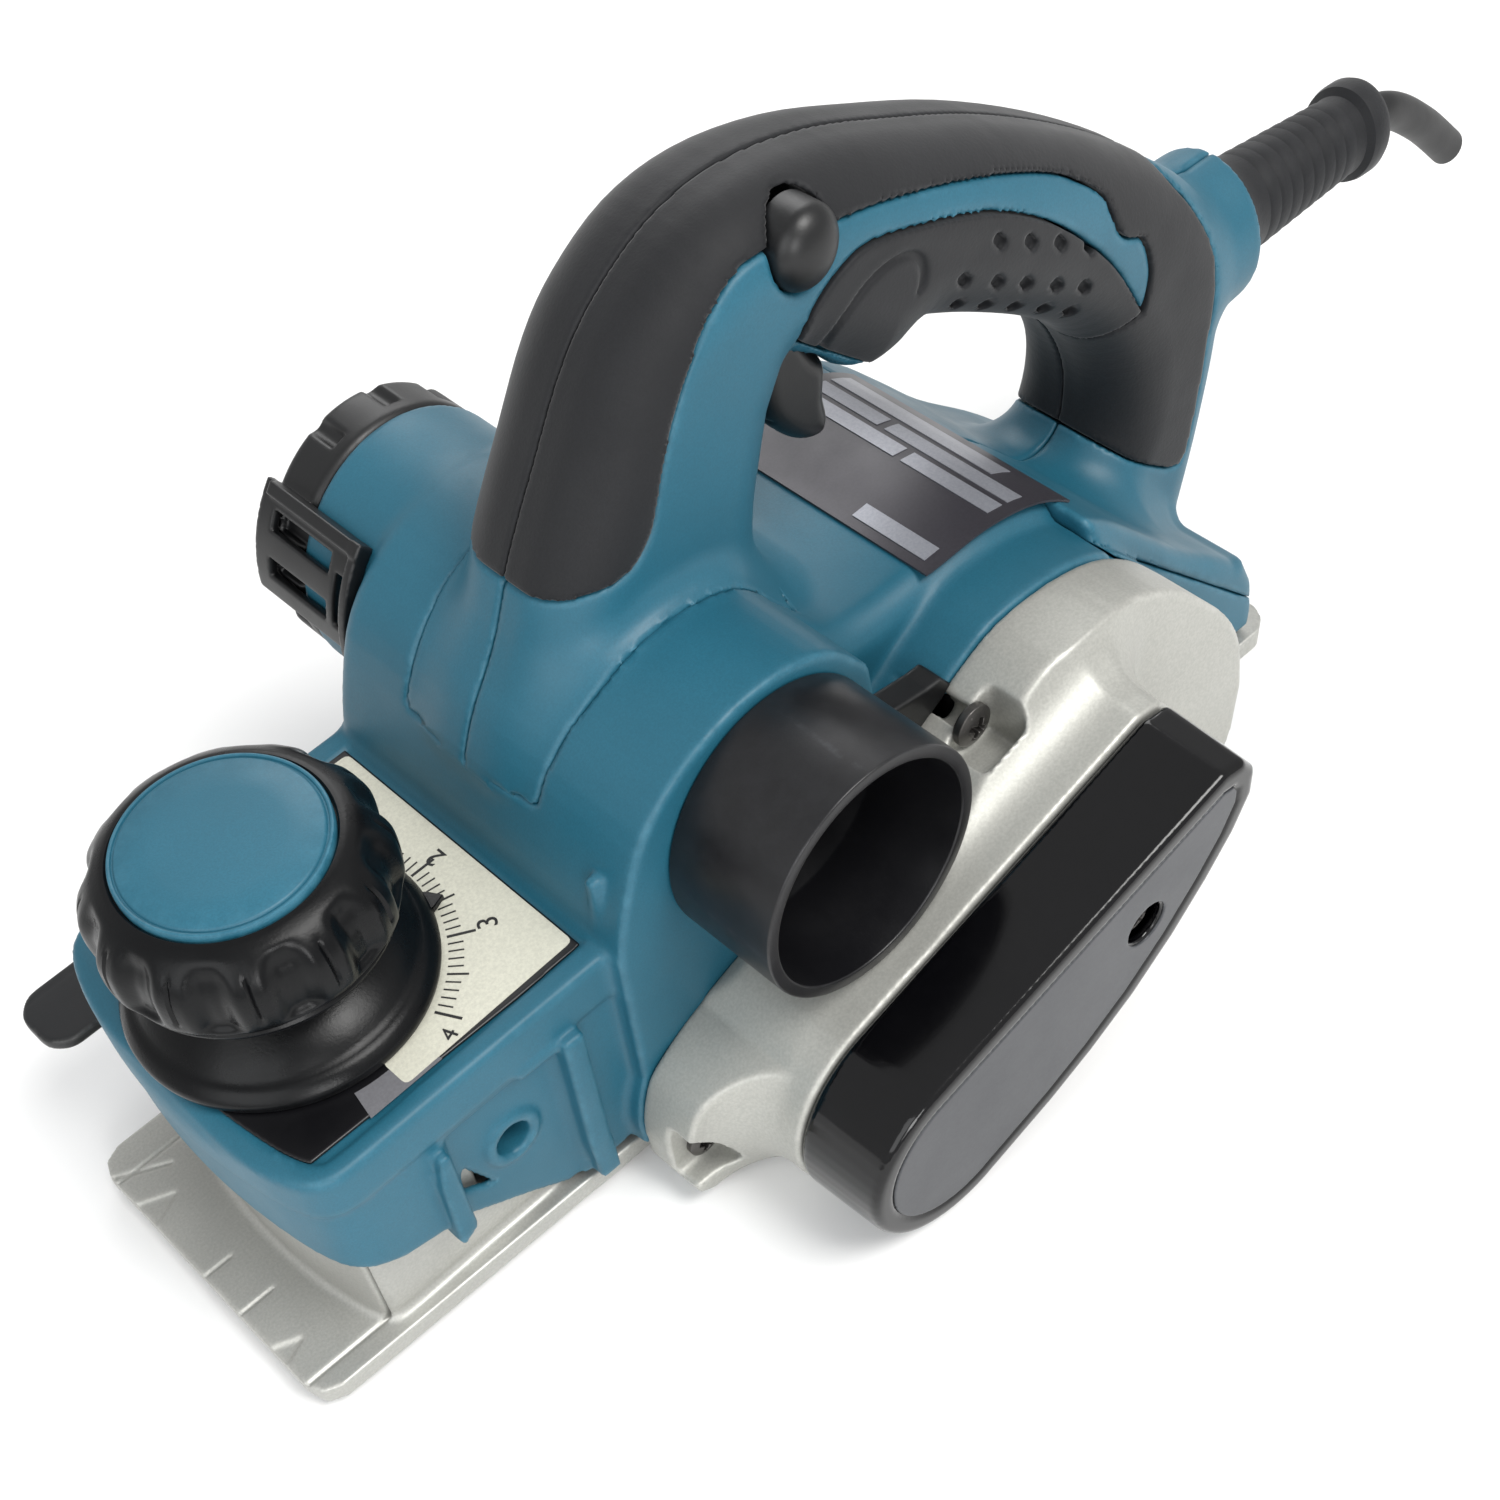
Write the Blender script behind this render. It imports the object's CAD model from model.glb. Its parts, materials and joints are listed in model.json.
import json, math
import bpy, bmesh
import numpy as np
from mathutils import Vector, Matrix


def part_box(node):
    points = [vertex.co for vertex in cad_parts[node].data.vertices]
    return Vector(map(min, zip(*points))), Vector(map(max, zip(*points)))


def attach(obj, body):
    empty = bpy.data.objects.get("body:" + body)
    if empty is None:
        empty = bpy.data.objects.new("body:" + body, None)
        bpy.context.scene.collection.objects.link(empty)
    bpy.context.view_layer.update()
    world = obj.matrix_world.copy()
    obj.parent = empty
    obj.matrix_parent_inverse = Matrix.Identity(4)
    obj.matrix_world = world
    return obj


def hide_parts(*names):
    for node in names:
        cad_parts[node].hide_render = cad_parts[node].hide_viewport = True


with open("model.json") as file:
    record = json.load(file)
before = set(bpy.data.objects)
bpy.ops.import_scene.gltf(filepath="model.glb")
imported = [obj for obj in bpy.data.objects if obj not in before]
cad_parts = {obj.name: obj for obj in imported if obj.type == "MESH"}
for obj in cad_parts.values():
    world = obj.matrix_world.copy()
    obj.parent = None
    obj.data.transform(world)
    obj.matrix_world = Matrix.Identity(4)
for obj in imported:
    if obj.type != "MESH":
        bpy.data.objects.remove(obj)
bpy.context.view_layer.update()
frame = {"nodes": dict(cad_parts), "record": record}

Q = 1.0
# the datum line of the outlines below, in the row frame (mm): the rear end of the rear shoe is at -164.5
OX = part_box("rear_base")[0].x * 1000.0 + 164.5
F4 = np.float32

# ------------------------------------------------------------------ 2-D outlines
def spline(pts, n=6, closed=False):
    p = np.array(pts, float); m = len(p); out = []
    rng = range(m) if closed else range(m - 1)
    for i in rng:
        if closed: a, b, c, d = p[(i - 1) % m], p[i], p[(i + 1) % m], p[(i + 2) % m]
        else: a, b, c, d = p[max(i - 1, 0)], p[i], p[i + 1], p[min(i + 2, m - 1)]
        for k in range(n):
            t = k / n
            out.append(0.5 * ((2 * b) + (c - a) * t + (2 * a - 5 * b + 4 * c - d) * t * t + (3 * b - a - 3 * c + d) * t ** 3))
    if not closed: out.append(p[-1])
    return [tuple(v) for v in out]

def arc(cx, cz, r, a0, a1, n):
    return [(cx + r * math.cos(math.radians(a0 + (a1 - a0) * i / n)), cz + r * math.sin(math.radians(a0 + (a1 - a0) * i / n))) for i in range(n + 1)]

def poly(pts, A, B):
    """signed distance to a closed outline, negative inside"""
    p = np.array(pts, float); A, B = np.broadcast_arrays(A, B)
    d2 = np.full(A.shape, 1e12, F4); s = np.zeros(A.shape, bool)
    for i in range(len(p)):
        ax, az = p[i]; bx, bz = p[(i + 1) % len(p)]
        ex, ez = bx - ax, bz - az; L = ex * ex + ez * ez
        if L < 1e-9: continue
        t = np.clip(((A - ax) * ex + (B - az) * ez) / L, 0, 1)
        d2 = np.minimum(d2, (A - ax - t * ex) ** 2 + (B - az - t * ez) ** 2)
        if (az > bz) != (az < bz) and az != bz:
            hit = ((az > B) != (bz > B)) & (A < ex * (B - az) / ez + ax)
            s ^= hit
    d = np.sqrt(d2)
    return np.where(s, -d, d).astype(F4)

def ext(d2, c, half, r):
    """rounded extrusion of a 2-D distance along c"""
    a = d2 + r; b = np.abs(c) - half + r
    return np.minimum(np.maximum(a, b), 0) + np.sqrt(np.maximum(a, 0) ** 2 + np.maximum(b, 0) ** 2) - r

def rmin(a, b, r):
    return np.maximum(r, np.minimum(a, b)) - np.sqrt(np.maximum(r - a, 0) ** 2 + np.maximum(r - b, 0) ** 2)
def rmax(a, b, r): return -rmin(-a, -b, r)
mn, mx = np.minimum, np.maximum

class Grid:
    def __init__(s, lo, hi, h):
        h *= Q; s.h = h; s.lo = np.array(lo, float)
        n = np.ceil((np.array(hi, float) - s.lo) / h).astype(int) + 1
        s.X = (s.lo[0] + h * np.arange(n[0])).astype(F4)[:, None, None]
        s.Y = (s.lo[1] + h * np.arange(n[1])).astype(F4)[None, :, None]
        s.Z = (s.lo[2] + h * np.arange(n[2])).astype(F4)[None, None, :]
        s.n = n
    def xz(s, pts): return poly(pts, s.X, s.Z)
    def xy(s, pts): return poly(pts, s.X, s.Y)
    def yz(s, pts): return poly(pts, s.Y, s.Z)
    def prism(s, pts, y0, y1, r=0.4): return ext(s.xz(pts) if isinstance(pts, list) else pts, s.Y - (y0 + y1) / 2, (y1 - y0) / 2, r)
    def slab(s, pts, z0, z1, r=0.4): return ext(s.xy(pts) if isinstance(pts, list) else pts, s.Z - (z0 + z1) / 2, (z1 - z0) / 2, r)
    def box(s, x0, x1, y0, y1, z0, z1, r=0.3):
        a = np.abs(s.X - (x0 + x1) / 2) - (x1 - x0) / 2 + r; b = np.abs(s.Y - (y0 + y1) / 2) - (y1 - y0) / 2 + r; c = np.abs(s.Z - (z0 + z1) / 2) - (z1 - z0) / 2 + r
        return np.sqrt(mx(a, 0) ** 2 + mx(b, 0) ** 2 + mx(c, 0) ** 2) + mn(mx(a, mx(b, c)), 0) - r
    def cylY(s, x, z, rad, y0, y1, r=0.3): return ext(np.sqrt((s.X - x) ** 2 + (s.Z - z) ** 2) - rad, s.Y - (y0 + y1) / 2, (y1 - y0) / 2, r)
    def cylZ(s, x, y, rad, z0, z1, r=0.3): return ext(np.sqrt((s.X - x) ** 2 + (s.Y - y) ** 2) - rad, s.Z - (z0 + z1) / 2, (z1 - z0) / 2, r)
    def cylX(s, y, z, rad, x0, x1, r=0.3): return ext(np.sqrt((s.Y - y) ** 2 + (s.Z - z) ** 2) - rad, s.X - (x0 + x1) / 2, (x1 - x0) / 2, r)

# ------------------------------------------------------------------ field to mesh
def surface(g, f):
    """quad surface through the zero level of f, one vertex per crossed cell"""
    f = np.broadcast_to(f, tuple(g.n)).astype(F4).copy()
    for ax in range(3):                      # the field always ends outside
        sl = [slice(None)] * 3
        for e in (0, -1):
            sl[ax] = e; f[tuple(sl)] = mx(f[tuple(sl)], 0.05)
    f[np.abs(f) < 1e-5] = 1e-5
    ins = f < 0
    c = np.zeros(tuple(g.n - 1), np.int8)
    for a in (0, 1):
        for b in (0, 1):
            for d in (0, 1):
                c += ins[a:a + c.shape[0], b:b + c.shape[1], d:d + c.shape[2]]
    act = (c > 0) & (c < 8)
    I = np.argwhere(act)
    idx = np.full(c.shape, -1, np.int32); idx[act] = np.arange(len(I), dtype=np.int32)
    i, j, k = I.T
    v = {(a, b, d): f[i + a, j + b, k + d] for a in (0, 1) for b in (0, 1) for d in (0, 1)}
    P = np.zeros((len(I), 3)); W = np.zeros(len(I))
    for ax in range(3):
        for p in (0, 1):
            for q in (0, 1):
                lo = [p, q]; lo.insert(ax, 0); hi = [p, q]; hi.insert(ax, 1)
                s0, s1 = v[tuple(lo)], v[tuple(hi)]
                m = (s0 < 0) != (s1 < 0)
                t = np.where(m, s0 / np.where(m, s0 - s1, 1), 0)
                pt = np.array(lo, float)[None, :] * m[:, None]
                pt[:, ax] += t
                P += pt; W += m
    P /= W[:, None]
    # one Newton step back on to the surface
    gx = np.zeros_like(P)
    fx, fy, fz = P[:, 0], P[:, 1], P[:, 2]
    def tri(w):
        val = 0
        for key, arr in v.items(): val = val + arr * w[0][key[0]] * w[1][key[1]] * w[2][key[2]]
        return val
    wx, wy, wz = [1 - fx, fx], [1 - fy, fy], [1 - fz, fz]
    val = tri((wx, wy, wz)); one = [-1.0, 1.0]
    gx[:, 0] = tri((one, wy, wz)); gx[:, 1] = tri((wx, one, wz)); gx[:, 2] = tri((wx, wy, one))
    gg = (gx ** 2).sum(1); step = np.where(gg > 0.1 * g.h ** 2, val / mx(gg, 1e-9), 0)
    P -= np.clip(step, -0.4, 0.4)[:, None] * gx * (np.abs(step[:, None] * gx) < 0.5)
    P = np.clip(P, 0, 1)
    co = (I + P) * g.h + g.lo
    quads = []
    for ax in range(3):
        sh = list(ins.shape); sh[ax] -= 1
        a = ins[tuple(slice(0, sh[d]) for d in range(3))]
        b = ins[tuple(slice(1, None) if d == ax else slice(0, sh[d]) for d in range(3))]
        e = np.argwhere(a != b)
        u, w = (ax + 1) % 3, (ax + 2) % 3
        e = e[(e[:, u] > 0) & (e[:, w] > 0) & (e[:, u] < g.n[u] - 1) & (e[:, w] < g.n[w] - 1)]
        flip = ~a[tuple(e.T)]
        q = []
        for du, dw in ((1, 1), (0, 1), (0, 0), (1, 0)):
            o = e.copy(); o[:, u] -= du; o[:, w] -= dw
            q.append(idx[tuple(o.T)])
        q = np.array(q).T
        q[flip] = q[flip][:, ::-1]
        quads.append(q)
    return co, np.concatenate(quads)

def biggest(co, q, frac=1.0):
    par = np.arange(len(co)); u = q[:, [0, 1, 2]].ravel(); w = q[:, [1, 2, 3]].ravel()
    for _ in range(60):
        pu, pw = par[u], par[w]
        if (pu == pw).all(): break
        m = mn(pu, pw); np.minimum.at(par, pu, m); np.minimum.at(par, pw, m)
        while True:
            p2 = par[par]
            if (p2 == par).all(): break
            par = p2
    lab, cnt = np.unique(par, return_counts=True)
    keep = np.isin(par, lab[cnt >= cnt.max() * frac])
    new = np.cumsum(keep) - 1
    return co[keep], new[q[keep[q[:, 0]]]]

def mesh_from(name, co, q, smooth=True):
    me = bpy.data.meshes.new(name)
    me.vertices.add(len(co)); me.vertices.foreach_set("co", np.ascontiguousarray(co, F4).ravel())
    k = q.shape[1]
    me.loops.add(q.size); me.loops.foreach_set("vertex_index", np.ascontiguousarray(q, np.int32).ravel())
    me.polygons.add(len(q)); me.polygons.foreach_set("loop_start", np.arange(0, q.size, k, dtype=np.int32))
    me.polygons.foreach_set("use_smooth", np.full(len(q), smooth))
    me.update(calc_edges=True)
    o = bpy.data.objects.new(name, me); bpy.context.scene.collection.objects.link(o)
    return o

def to_row(co):
    co = np.array(co, float); co = co + np.array([OX, 0, 0]); return co / 1000.0

BODIES = {n: b for b, ns in frame["record"]["behaviour"]["bodies"].items() for n in ns}
SLOTS = {s["node"]: s["material_slot"] for s in frame["record"]["subparts"]}

def dress(o, mat, body, slot, *nodes):
    o.data.materials.clear() if hasattr(o.data, "materials") else None
    o.data.materials.append(mat)
    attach(o, body)
    if nodes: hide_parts(*nodes)
    return o

def field_piece(name, g, f, mat, node=None, body=None, slot=None, whole=True, relax=0, frac=1.0):
    co, q = surface(g, f)
    if whole: co, q = biggest(co, q, frac)
    for _ in range(relax):
        s = np.zeros_like(co); n = np.zeros(len(co))
        for a in range(4):
            b = (a + 1) % 4
            np.add.at(s, q[:, a], co[q[:, b]]); np.add.at(n, q[:, a], 1)
            np.add.at(s, q[:, b], co[q[:, a]]); np.add.at(n, q[:, b], 1)
        co = co * 0.5 + 0.5 * s / n[:, None]
    o = mesh_from(name, to_row(co), q)
    node = node or name
    return dress(o, mat, body or BODIES[node], slot or SLOTS[node], *([node] if node in frame["nodes"] else []))

def lathe(name, pts, axis, centre, mat, node, n=96, body=None, slot=None, smooth_angle=35, rep=True, wob=None):
    """solid of revolution; pts are (radius, station) closed from axis to axis or into a ring"""
    pts = np.array(pts, float); m = len(pts); ring = pts[0, 0] > 1e-6
    th = np.arange(n) * 2 * math.pi / n
    vs, fs = [], []
    R = np.repeat(pts[:, 0][:, None], n, 1); S = np.repeat(pts[:, 1][:, None], n, 1); T = np.repeat(th[None, :], m, 0)
    if wob is not None: R, S = wob(R, S, T)
    a, b = R * np.cos(T), R * np.sin(T)
    if axis == "z": co = np.stack([centre[0] + a, centre[1] + b, S], -1)
    elif axis == "y": co = np.stack([centre[0] + b, S, centre[1] + a], -1)
    else: co = np.stack([S, centre[0] + a, centre[1] + b], -1)
    bm = bmesh.new()
    rows = []
    for r in range(m):
        if pts[r, 0] < 1e-6: rows.append([bm.verts.new(co[r, 0])] * n)
        else: rows.append([bm.verts.new(co[r, t]) for t in range(n)])
    for r in range(m if ring else m - 1):
        A, B = rows[r], rows[(r + 1) % m]
        for t in range(n):
            u = (t + 1) % n
            vsx = [A[t], A[u], B[u], B[t]]
            seen = []
            for x in vsx:
                if x not in seen: seen.append(x)
            if len(seen) > 2: bm.faces.new(seen)
    bmesh.ops.recalc_face_normals(bm, faces=bm.faces)
    ca = math.radians(smooth_angle)
    for f in bm.faces: f.smooth = True
    for e in bm.edges:
        if len(e.link_faces) == 2 and e.calc_face_angle(0) > ca: e.smooth = False
    for vtx in bm.verts: vtx.co = Vector(((vtx.co.x + OX) / 1000, vtx.co.y / 1000, vtx.co.z / 1000))
    me = bpy.data.meshes.new(name); bm.to_mesh(me); bm.free()
    o = bpy.data.objects.new(name, me); bpy.context.scene.collection.objects.link(o)
    return dress(o, mat, body or BODIES[node], slot or SLOTS[node], *([node] if rep else []))

def rounded(pts, r=0.5, n=3, closed=False):
    """fillets the corners of a polyline"""
    p = [np.array(v, float) for v in pts]; out = []
    m = len(p)
    for i in range(m):
        if not closed and i in (0, m - 1): out.append(p[i]); continue
        a, b, c = p[i - 1], p[i], p[(i + 1) % m]
        u, v = a - b, c - b; lu, lv = np.linalg.norm(u), np.linalg.norm(v)
        if lu < 1e-6 or lv < 1e-6: out.append(b); continue
        k = min(r, lu * 0.45, lv * 0.45)
        s, e = b + u / lu * k, b + v / lv * k
        for t in range(n + 1):
            t /= n; out.append((1 - t) ** 2 * s + 2 * t * (1 - t) * b + t * t * e)
    return [tuple(v) for v in out]

# ------------------------------------------------------------------ materials
def lin(c):
    c = [x / 255.0 for x in c]
    return [x / 12.92 if x <= 0.04045 else ((x + 0.055) / 1.055) ** 2.4 for x in c]

def material(name, rgb, rough=0.5, metal=0.0, vary=0.12, grain=2500, bump=0.12, bump_mm=0.06, patch=60, rough_var=0.12, coat=0.0, coat_rough=0.1,
             scratch=0.0, scratch_dir=(1, 30, 30), sheen=0.0, spec=0.5, edge=0.0, edge_rgb=None, flow=None, stipple=0.0, dust=0.0):
    """procedural finish: colour drift, fine mould or metal grain, rubbed edges, streaks and dust, all from noise in object space (metres)"""
    m = bpy.data.materials.new(name); m.use_nodes = True
    nt = m.node_tree; N = nt.nodes; L = nt.links; N.clear()
    out = N.new("ShaderNodeOutputMaterial"); b = N.new("ShaderNodeBsdfPrincipled"); L.new(b.outputs[0], out.inputs[0])
    co = N.new("ShaderNodeTexCoord")
    def noise(scale, detail=4, rough_=0.55, stretch=None, dist=0.0):
        n = N.new("ShaderNodeTexNoise"); n.inputs["Scale"].default_value = scale; n.inputs["Detail"].default_value = detail
        n.inputs["Roughness"].default_value = rough_; n.inputs["Distortion"].default_value = dist
        if stretch:
            mp = N.new("ShaderNodeMapping"); mp.inputs["Scale"].default_value = stretch
            L.new(co.outputs["Object"], mp.inputs[0]); L.new(mp.outputs[0], n.inputs["Vector"])
        else: L.new(co.outputs["Object"], n.inputs["Vector"])
        return n.outputs["Fac"]
    def ramp(src, p0, p1, c0=(0, 0, 0, 1), c1=(1, 1, 1, 1)):
        r = N.new("ShaderNodeValToRGB"); r.color_ramp.elements[0].position = p0; r.color_ramp.elements[1].position = p1
        r.color_ramp.elements[0].color = c0; r.color_ramp.elements[1].color = c1; L.new(src, r.inputs[0]); return r.outputs[0]
    def mix(fac, a, c, mode="MIX"):
        x = N.new("ShaderNodeMix"); x.data_type = "RGBA"; x.blend_type = mode
        if isinstance(fac, float): x.inputs[0].default_value = fac
        else: L.new(fac, x.inputs[0])
        for v, s in ((a, x.inputs[6]), (c, x.inputs[7])):
            if hasattr(v, "links"): L.new(v, s)
            else: s.default_value = (*v, 1)
        return x.outputs[2]
    def math_(op, a, c):
        x = N.new("ShaderNodeMath"); x.operation = op
        for v, s in ((a, x.inputs[0]), (c, x.inputs[1])):
            if hasattr(v, "links"): L.new(v, s)
            else: s.default_value = v
        return x.outputs[0]
    base = lin(rgb)
    lo = [x * (1 - vary) for x in base]; hi = [min(1, x * (1 + vary * 0.9) + 0.004 * vary) for x in base]
    big = noise(patch, 5); fine = noise(grain, 3, 0.6)
    col = mix(ramp(big, 0.3, 0.7), lo, hi)
    col = mix(ramp(fine, 0.35, 0.65), col, mix(0.5, col, [x * 0.72 for x in base]), "MIX") if vary else col
    rv = math_("ADD", rough - rough_var / 2, math_("MULTIPLY", ramp(noise(patch * 2.3, 6), 0.3, 0.75), rough_var))
    if edge > 0:
        g = N.new("ShaderNodeNewGeometry")
        e = ramp(g.outputs["Pointiness"], 0.515, 0.58)
        worn = math_("MULTIPLY", math_("MULTIPLY", e, ramp(noise(220, 6, 0.7), 0.42, 0.62)), edge)
        col = mix(worn, col, lin(edge_rgb) if edge_rgb else [min(1, x * 1.7 + 0.03) for x in base])
    if scratch > 0:
        s = ramp(noise(90, 8, 0.75, scratch_dir), 0.56, 0.64)
        rv = math_("ADD", rv, math_("MULTIPLY", s, scratch))
        col = mix(math_("MULTIPLY", s, min(1.0, scratch * 1.2)), col, [min(1, x * 1.3 + 0.01) for x in base])
    if dust > 0:
        d = math_("MULTIPLY", ramp(noise(35, 9, 0.72), 0.52, 0.78), dust)
        col = mix(d, col, [0.32, 0.30, 0.27]); rv = math_("ADD", rv, math_("MULTIPLY", d, 0.5))
    L.new(col, b.inputs["Base Color"]); L.new(rv, b.inputs["Roughness"])
    b.inputs["Metallic"].default_value = metal
    b.inputs["Coat Weight"].default_value = coat; b.inputs["Coat Roughness"].default_value = coat_rough
    b.inputs["Specular IOR Level"].default_value = spec
    b.inputs["Sheen Weight"].default_value = sheen
    h = fine
    if flow: h = mix(0.5, fine, noise(120, 6, 0.6, flow))
    if stipple > 0:
        v = N.new("ShaderNodeTexVoronoi"); v.inputs["Scale"].default_value = grain * 0.55; L.new(co.outputs["Object"], v.inputs["Vector"])
        h = math_("ADD", h, math_("MULTIPLY", v.outputs["Distance"], stipple))
    bp = N.new("ShaderNodeBump"); bp.inputs["Strength"].default_value = bump; bp.inputs["Distance"].default_value = bump_mm / 1000.0
    L.new(h, bp.inputs["Height"]); L.new(bp.outputs[0], b.inputs["Normal"])
    return m

BLUE = material("moulded_blue", (33, 95, 116), 0.46, vary=0.10, grain=2600, bump=0.30, bump_mm=0.05, patch=28, edge=0.35, edge_rgb=(84, 142, 164), scratch=0.05, scratch_dir=(6, 25, 25), stipple=0.4, spec=0.45)
RUBBER = material("overmoulded_rubber", (25, 26, 29), 0.6, vary=0.14, grain=2100, bump=0.4, bump_mm=0.07, patch=40, sheen=0.12, stipple=0.5, edge=0.25, edge_rgb=(50, 51, 55), spec=0.26)
BLACK = material("moulded_black", (11, 12, 14), 0.42, vary=0.14, grain=2400, bump=0.25, bump_mm=0.05, patch=50, edge=0.3, edge_rgb=(56, 58, 61), stipple=0.3, scratch=0.04)
KNOBM = material("knob_satin_black", (8, 9, 11), 0.30, vary=0.14, grain=1900, bump=0.35, bump_mm=0.06, patch=60, edge=0.3, edge_rgb=(44, 45, 49), stipple=0.3, spec=0.22)
NOZZ = material("nozzle_black", (16, 16, 19), 0.36, vary=0.12, grain=2300, bump=0.22, bump_mm=0.05, patch=45, edge=0.3, edge_rgb=(70, 71, 76), scratch=0.05, scratch_dir=(25, 6, 25))
GLOSS = material("gloss_black_cover", (7, 7, 9), 0.13, vary=0.10, grain=420, bump=0.05, bump_mm=0.12, patch=30, coat=0.25, coat_rough=0.05, rough_var=0.08, scratch=0.08, scratch_dir=(5, 40, 40), spec=0.3)
LABEL = material("cover_label_grey", (66, 68, 72), 0.34, metal=0.25, vary=0.06, grain=1500, bump=0.08, bump_mm=0.03, patch=25, scratch=0.05, scratch_dir=(8, 30, 30))
SILVER = material("cast_silver_paint", (180, 180, 174), 0.46, metal=0.45, vary=0.05, grain=1700, bump=0.30, bump_mm=0.05, patch=22, stipple=0.35, edge=0.35, edge_rgb=(232, 231, 226), scratch=0.04, dust=0.05)
ALU = material("cast_aluminium", (184, 184, 179), 0.45, metal=0.6, vary=0.08, grain=1300, bump=0.45, bump_mm=0.08, patch=30, stipple=0.5, edge=0.3, edge_rgb=(228, 228, 224), scratch=0.10, scratch_dir=(2, 45, 45), dust=0.06)
SHOE = material("machined_aluminium", (184, 184, 179), 0.46, metal=0.62, vary=0.07, grain=1600, bump=0.4, bump_mm=0.05, patch=26, flow=(1.2, 60, 60), scratch=0.16, scratch_dir=(2, 55, 55), edge=0.3, edge_rgb=(234, 233, 229), dust=0.08)
STEEL = material("turned_steel", (150, 151, 153), 0.32, metal=0.92, vary=0.08, grain=1500, bump=0.2, bump_mm=0.03, patch=60, scratch=0.12, scratch_dir=(40, 4, 40), flow=(60, 3, 60))
SCREW = material("blackened_screw", (92, 90, 88), 0.4, metal=0.85, vary=0.12, grain=1500, bump=0.25, bump_mm=0.04, patch=90, scratch=0.1, edge=0.3, edge_rgb=(170, 168, 164))
BLADE = material("ground_blade_steel", (182, 184, 188), 0.2, metal=0.95, vary=0.05, grain=1500, bump=0.15, bump_mm=0.02, patch=60, flow=(80, 2, 80), scratch=0.1, scratch_dir=(60, 3, 60))
CREAM = material("printed_cream_plate", (206, 205, 190), 0.42, vary=0.04, grain=1600, bump=0.06, bump_mm=0.02, patch=24, scratch=0.03, dust=0.04)
PLATEBLK = material("printed_black", (12, 12, 15), 0.36, vary=0.12, grain=1600, bump=0.08, bump_mm=0.02, patch=40, scratch=0.05)
BAND = material("printed_grey", (112, 112, 116), 0.4, vary=0.07, grain=1600, bump=0.06, bump_mm=0.02, patch=40, scratch=0.04)
RATING = material("rating_foil", (62, 60, 66), 0.38, metal=0.2, vary=0.08, grain=1500, bump=0.06, bump_mm=0.02, patch=30, scratch=0.05)
RATLITE = material("rating_foil_light", (150, 152, 160), 0.36, metal=0.3, vary=0.05, grain=1500, bump=0.06, bump_mm=0.02, patch=30, scratch=0.04)
INK = material("ink", (20, 20, 22), 0.5, vary=0.2, grain=1600, bump=0.05, bump_mm=0.01, patch=80)
LAMIN = material("varnished_laminations", (70, 72, 76), 0.45, metal=0.7, vary=0.1, grain=1400, bump=0.5, bump_mm=0.05, patch=60, flow=(2, 700, 2))
COPPER = material("commutator_copper", (176, 104, 62), 0.32, metal=0.95, vary=0.1, grain=1400, bump=0.2, bump_mm=0.03, patch=60, scratch=0.1)
BRASS = material("pressed_brass", (184, 148, 74), 0.35, metal=0.9, vary=0.1, grain=1400, bump=0.2, bump_mm=0.03, patch=60, scratch=0.1)
CARBON = material("carbon", (34, 34, 35), 0.7, vary=0.15, grain=1800, bump=0.4, bump_mm=0.05, patch=80)
BELT = material("ribbed_belt", (26, 26, 27), 0.7, vary=0.15, grain=1800, bump=0.6, bump_mm=0.1, patch=80, flow=(2, 900, 2))
CORD = material("cord_jacket", (11, 12, 14), 0.5, vary=0.12, grain=1600, bump=0.3, bump_mm=0.05, patch=50)
STOPM = material("black_painted_steel", (30, 31, 33), 0.4, metal=0.2, vary=0.12, grain=1600, bump=0.3, bump_mm=0.04, patch=50, edge=0.5, edge_rgb=(130, 130, 128), scratch=0.08)

# ------------------------------------------------------------------ driving outlines (mm, datum frame)
DRUM, MOTOR, CH, KN = (-4.0, 24.0), (-64.5, 53.5), (-8.0, 77.0), (76.5, 0.0)
bodySide = [(31, 9.5), (31, 64), (28, 76), (21, 92), (8, 101), (-10, 103.5), (-26, 100), (-36, 88), (-42, 82), (-60, 80.5), (-80, 80.5), (-94, 77), (-106, 69), (-118, 57), (-130, 45), (-146, 33), (-160, 27), (-165.5, 22), (-165.5, 6), (-34, 6), (-34, 20), (-34, 36), (-26, 50), (-6, 54), (16, 50), (25, 34), (25, 9.5)]
topline = spline([(31, 66), (28, 77), (21, 91.5), (8, 101), (-9, 103.6), (-24, 100.5), (-34, 90), (-42, 82.6), (-52, 80.8), (-66, 80.6), (-80, 80.6), (-94, 77), (-106, 69), (-118, 57.5), (-130, 45.5), (-146, 32.5), (-156, 23.5)], 4)
bodySm = [(31, 9.5)] + topline + [(-159.6, 18.5), (-161, 13), (-161, 6), (-34, 6), (-34, 9.5)]
castOutline = [(34, 12), (34.3, 18), (32.5, 26), (28.5, 32.5), (16, 38.8), (4, 43.6), (-12, 50), (-25, 56), (-47, 67), (-56, 73), (-66, 77.2), (-80, 77.2), (-92, 74), (-102, 67.5), (-110, 59.5), (-119, 49), (-125, 38), (-128, 24), (-128, 12), (-124, 4), (-118, 3), (29, 3), (32.5, 6)]
castSm = spline(castOutline[:18], 3) + [(-127.6, 12), (-126.5, 7.5), (-124, 4.4), (-118, 3), (29, 3), (32.5, 5), (34, 9)]
deckPlan = [(24, -41.5), (78, -41.5), (92, -38), (101, -30), (105, -19), (106.5, 0), (105, 19), (101, 30), (92, 38), (78, 41.5), (24, 41.5)]
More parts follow.
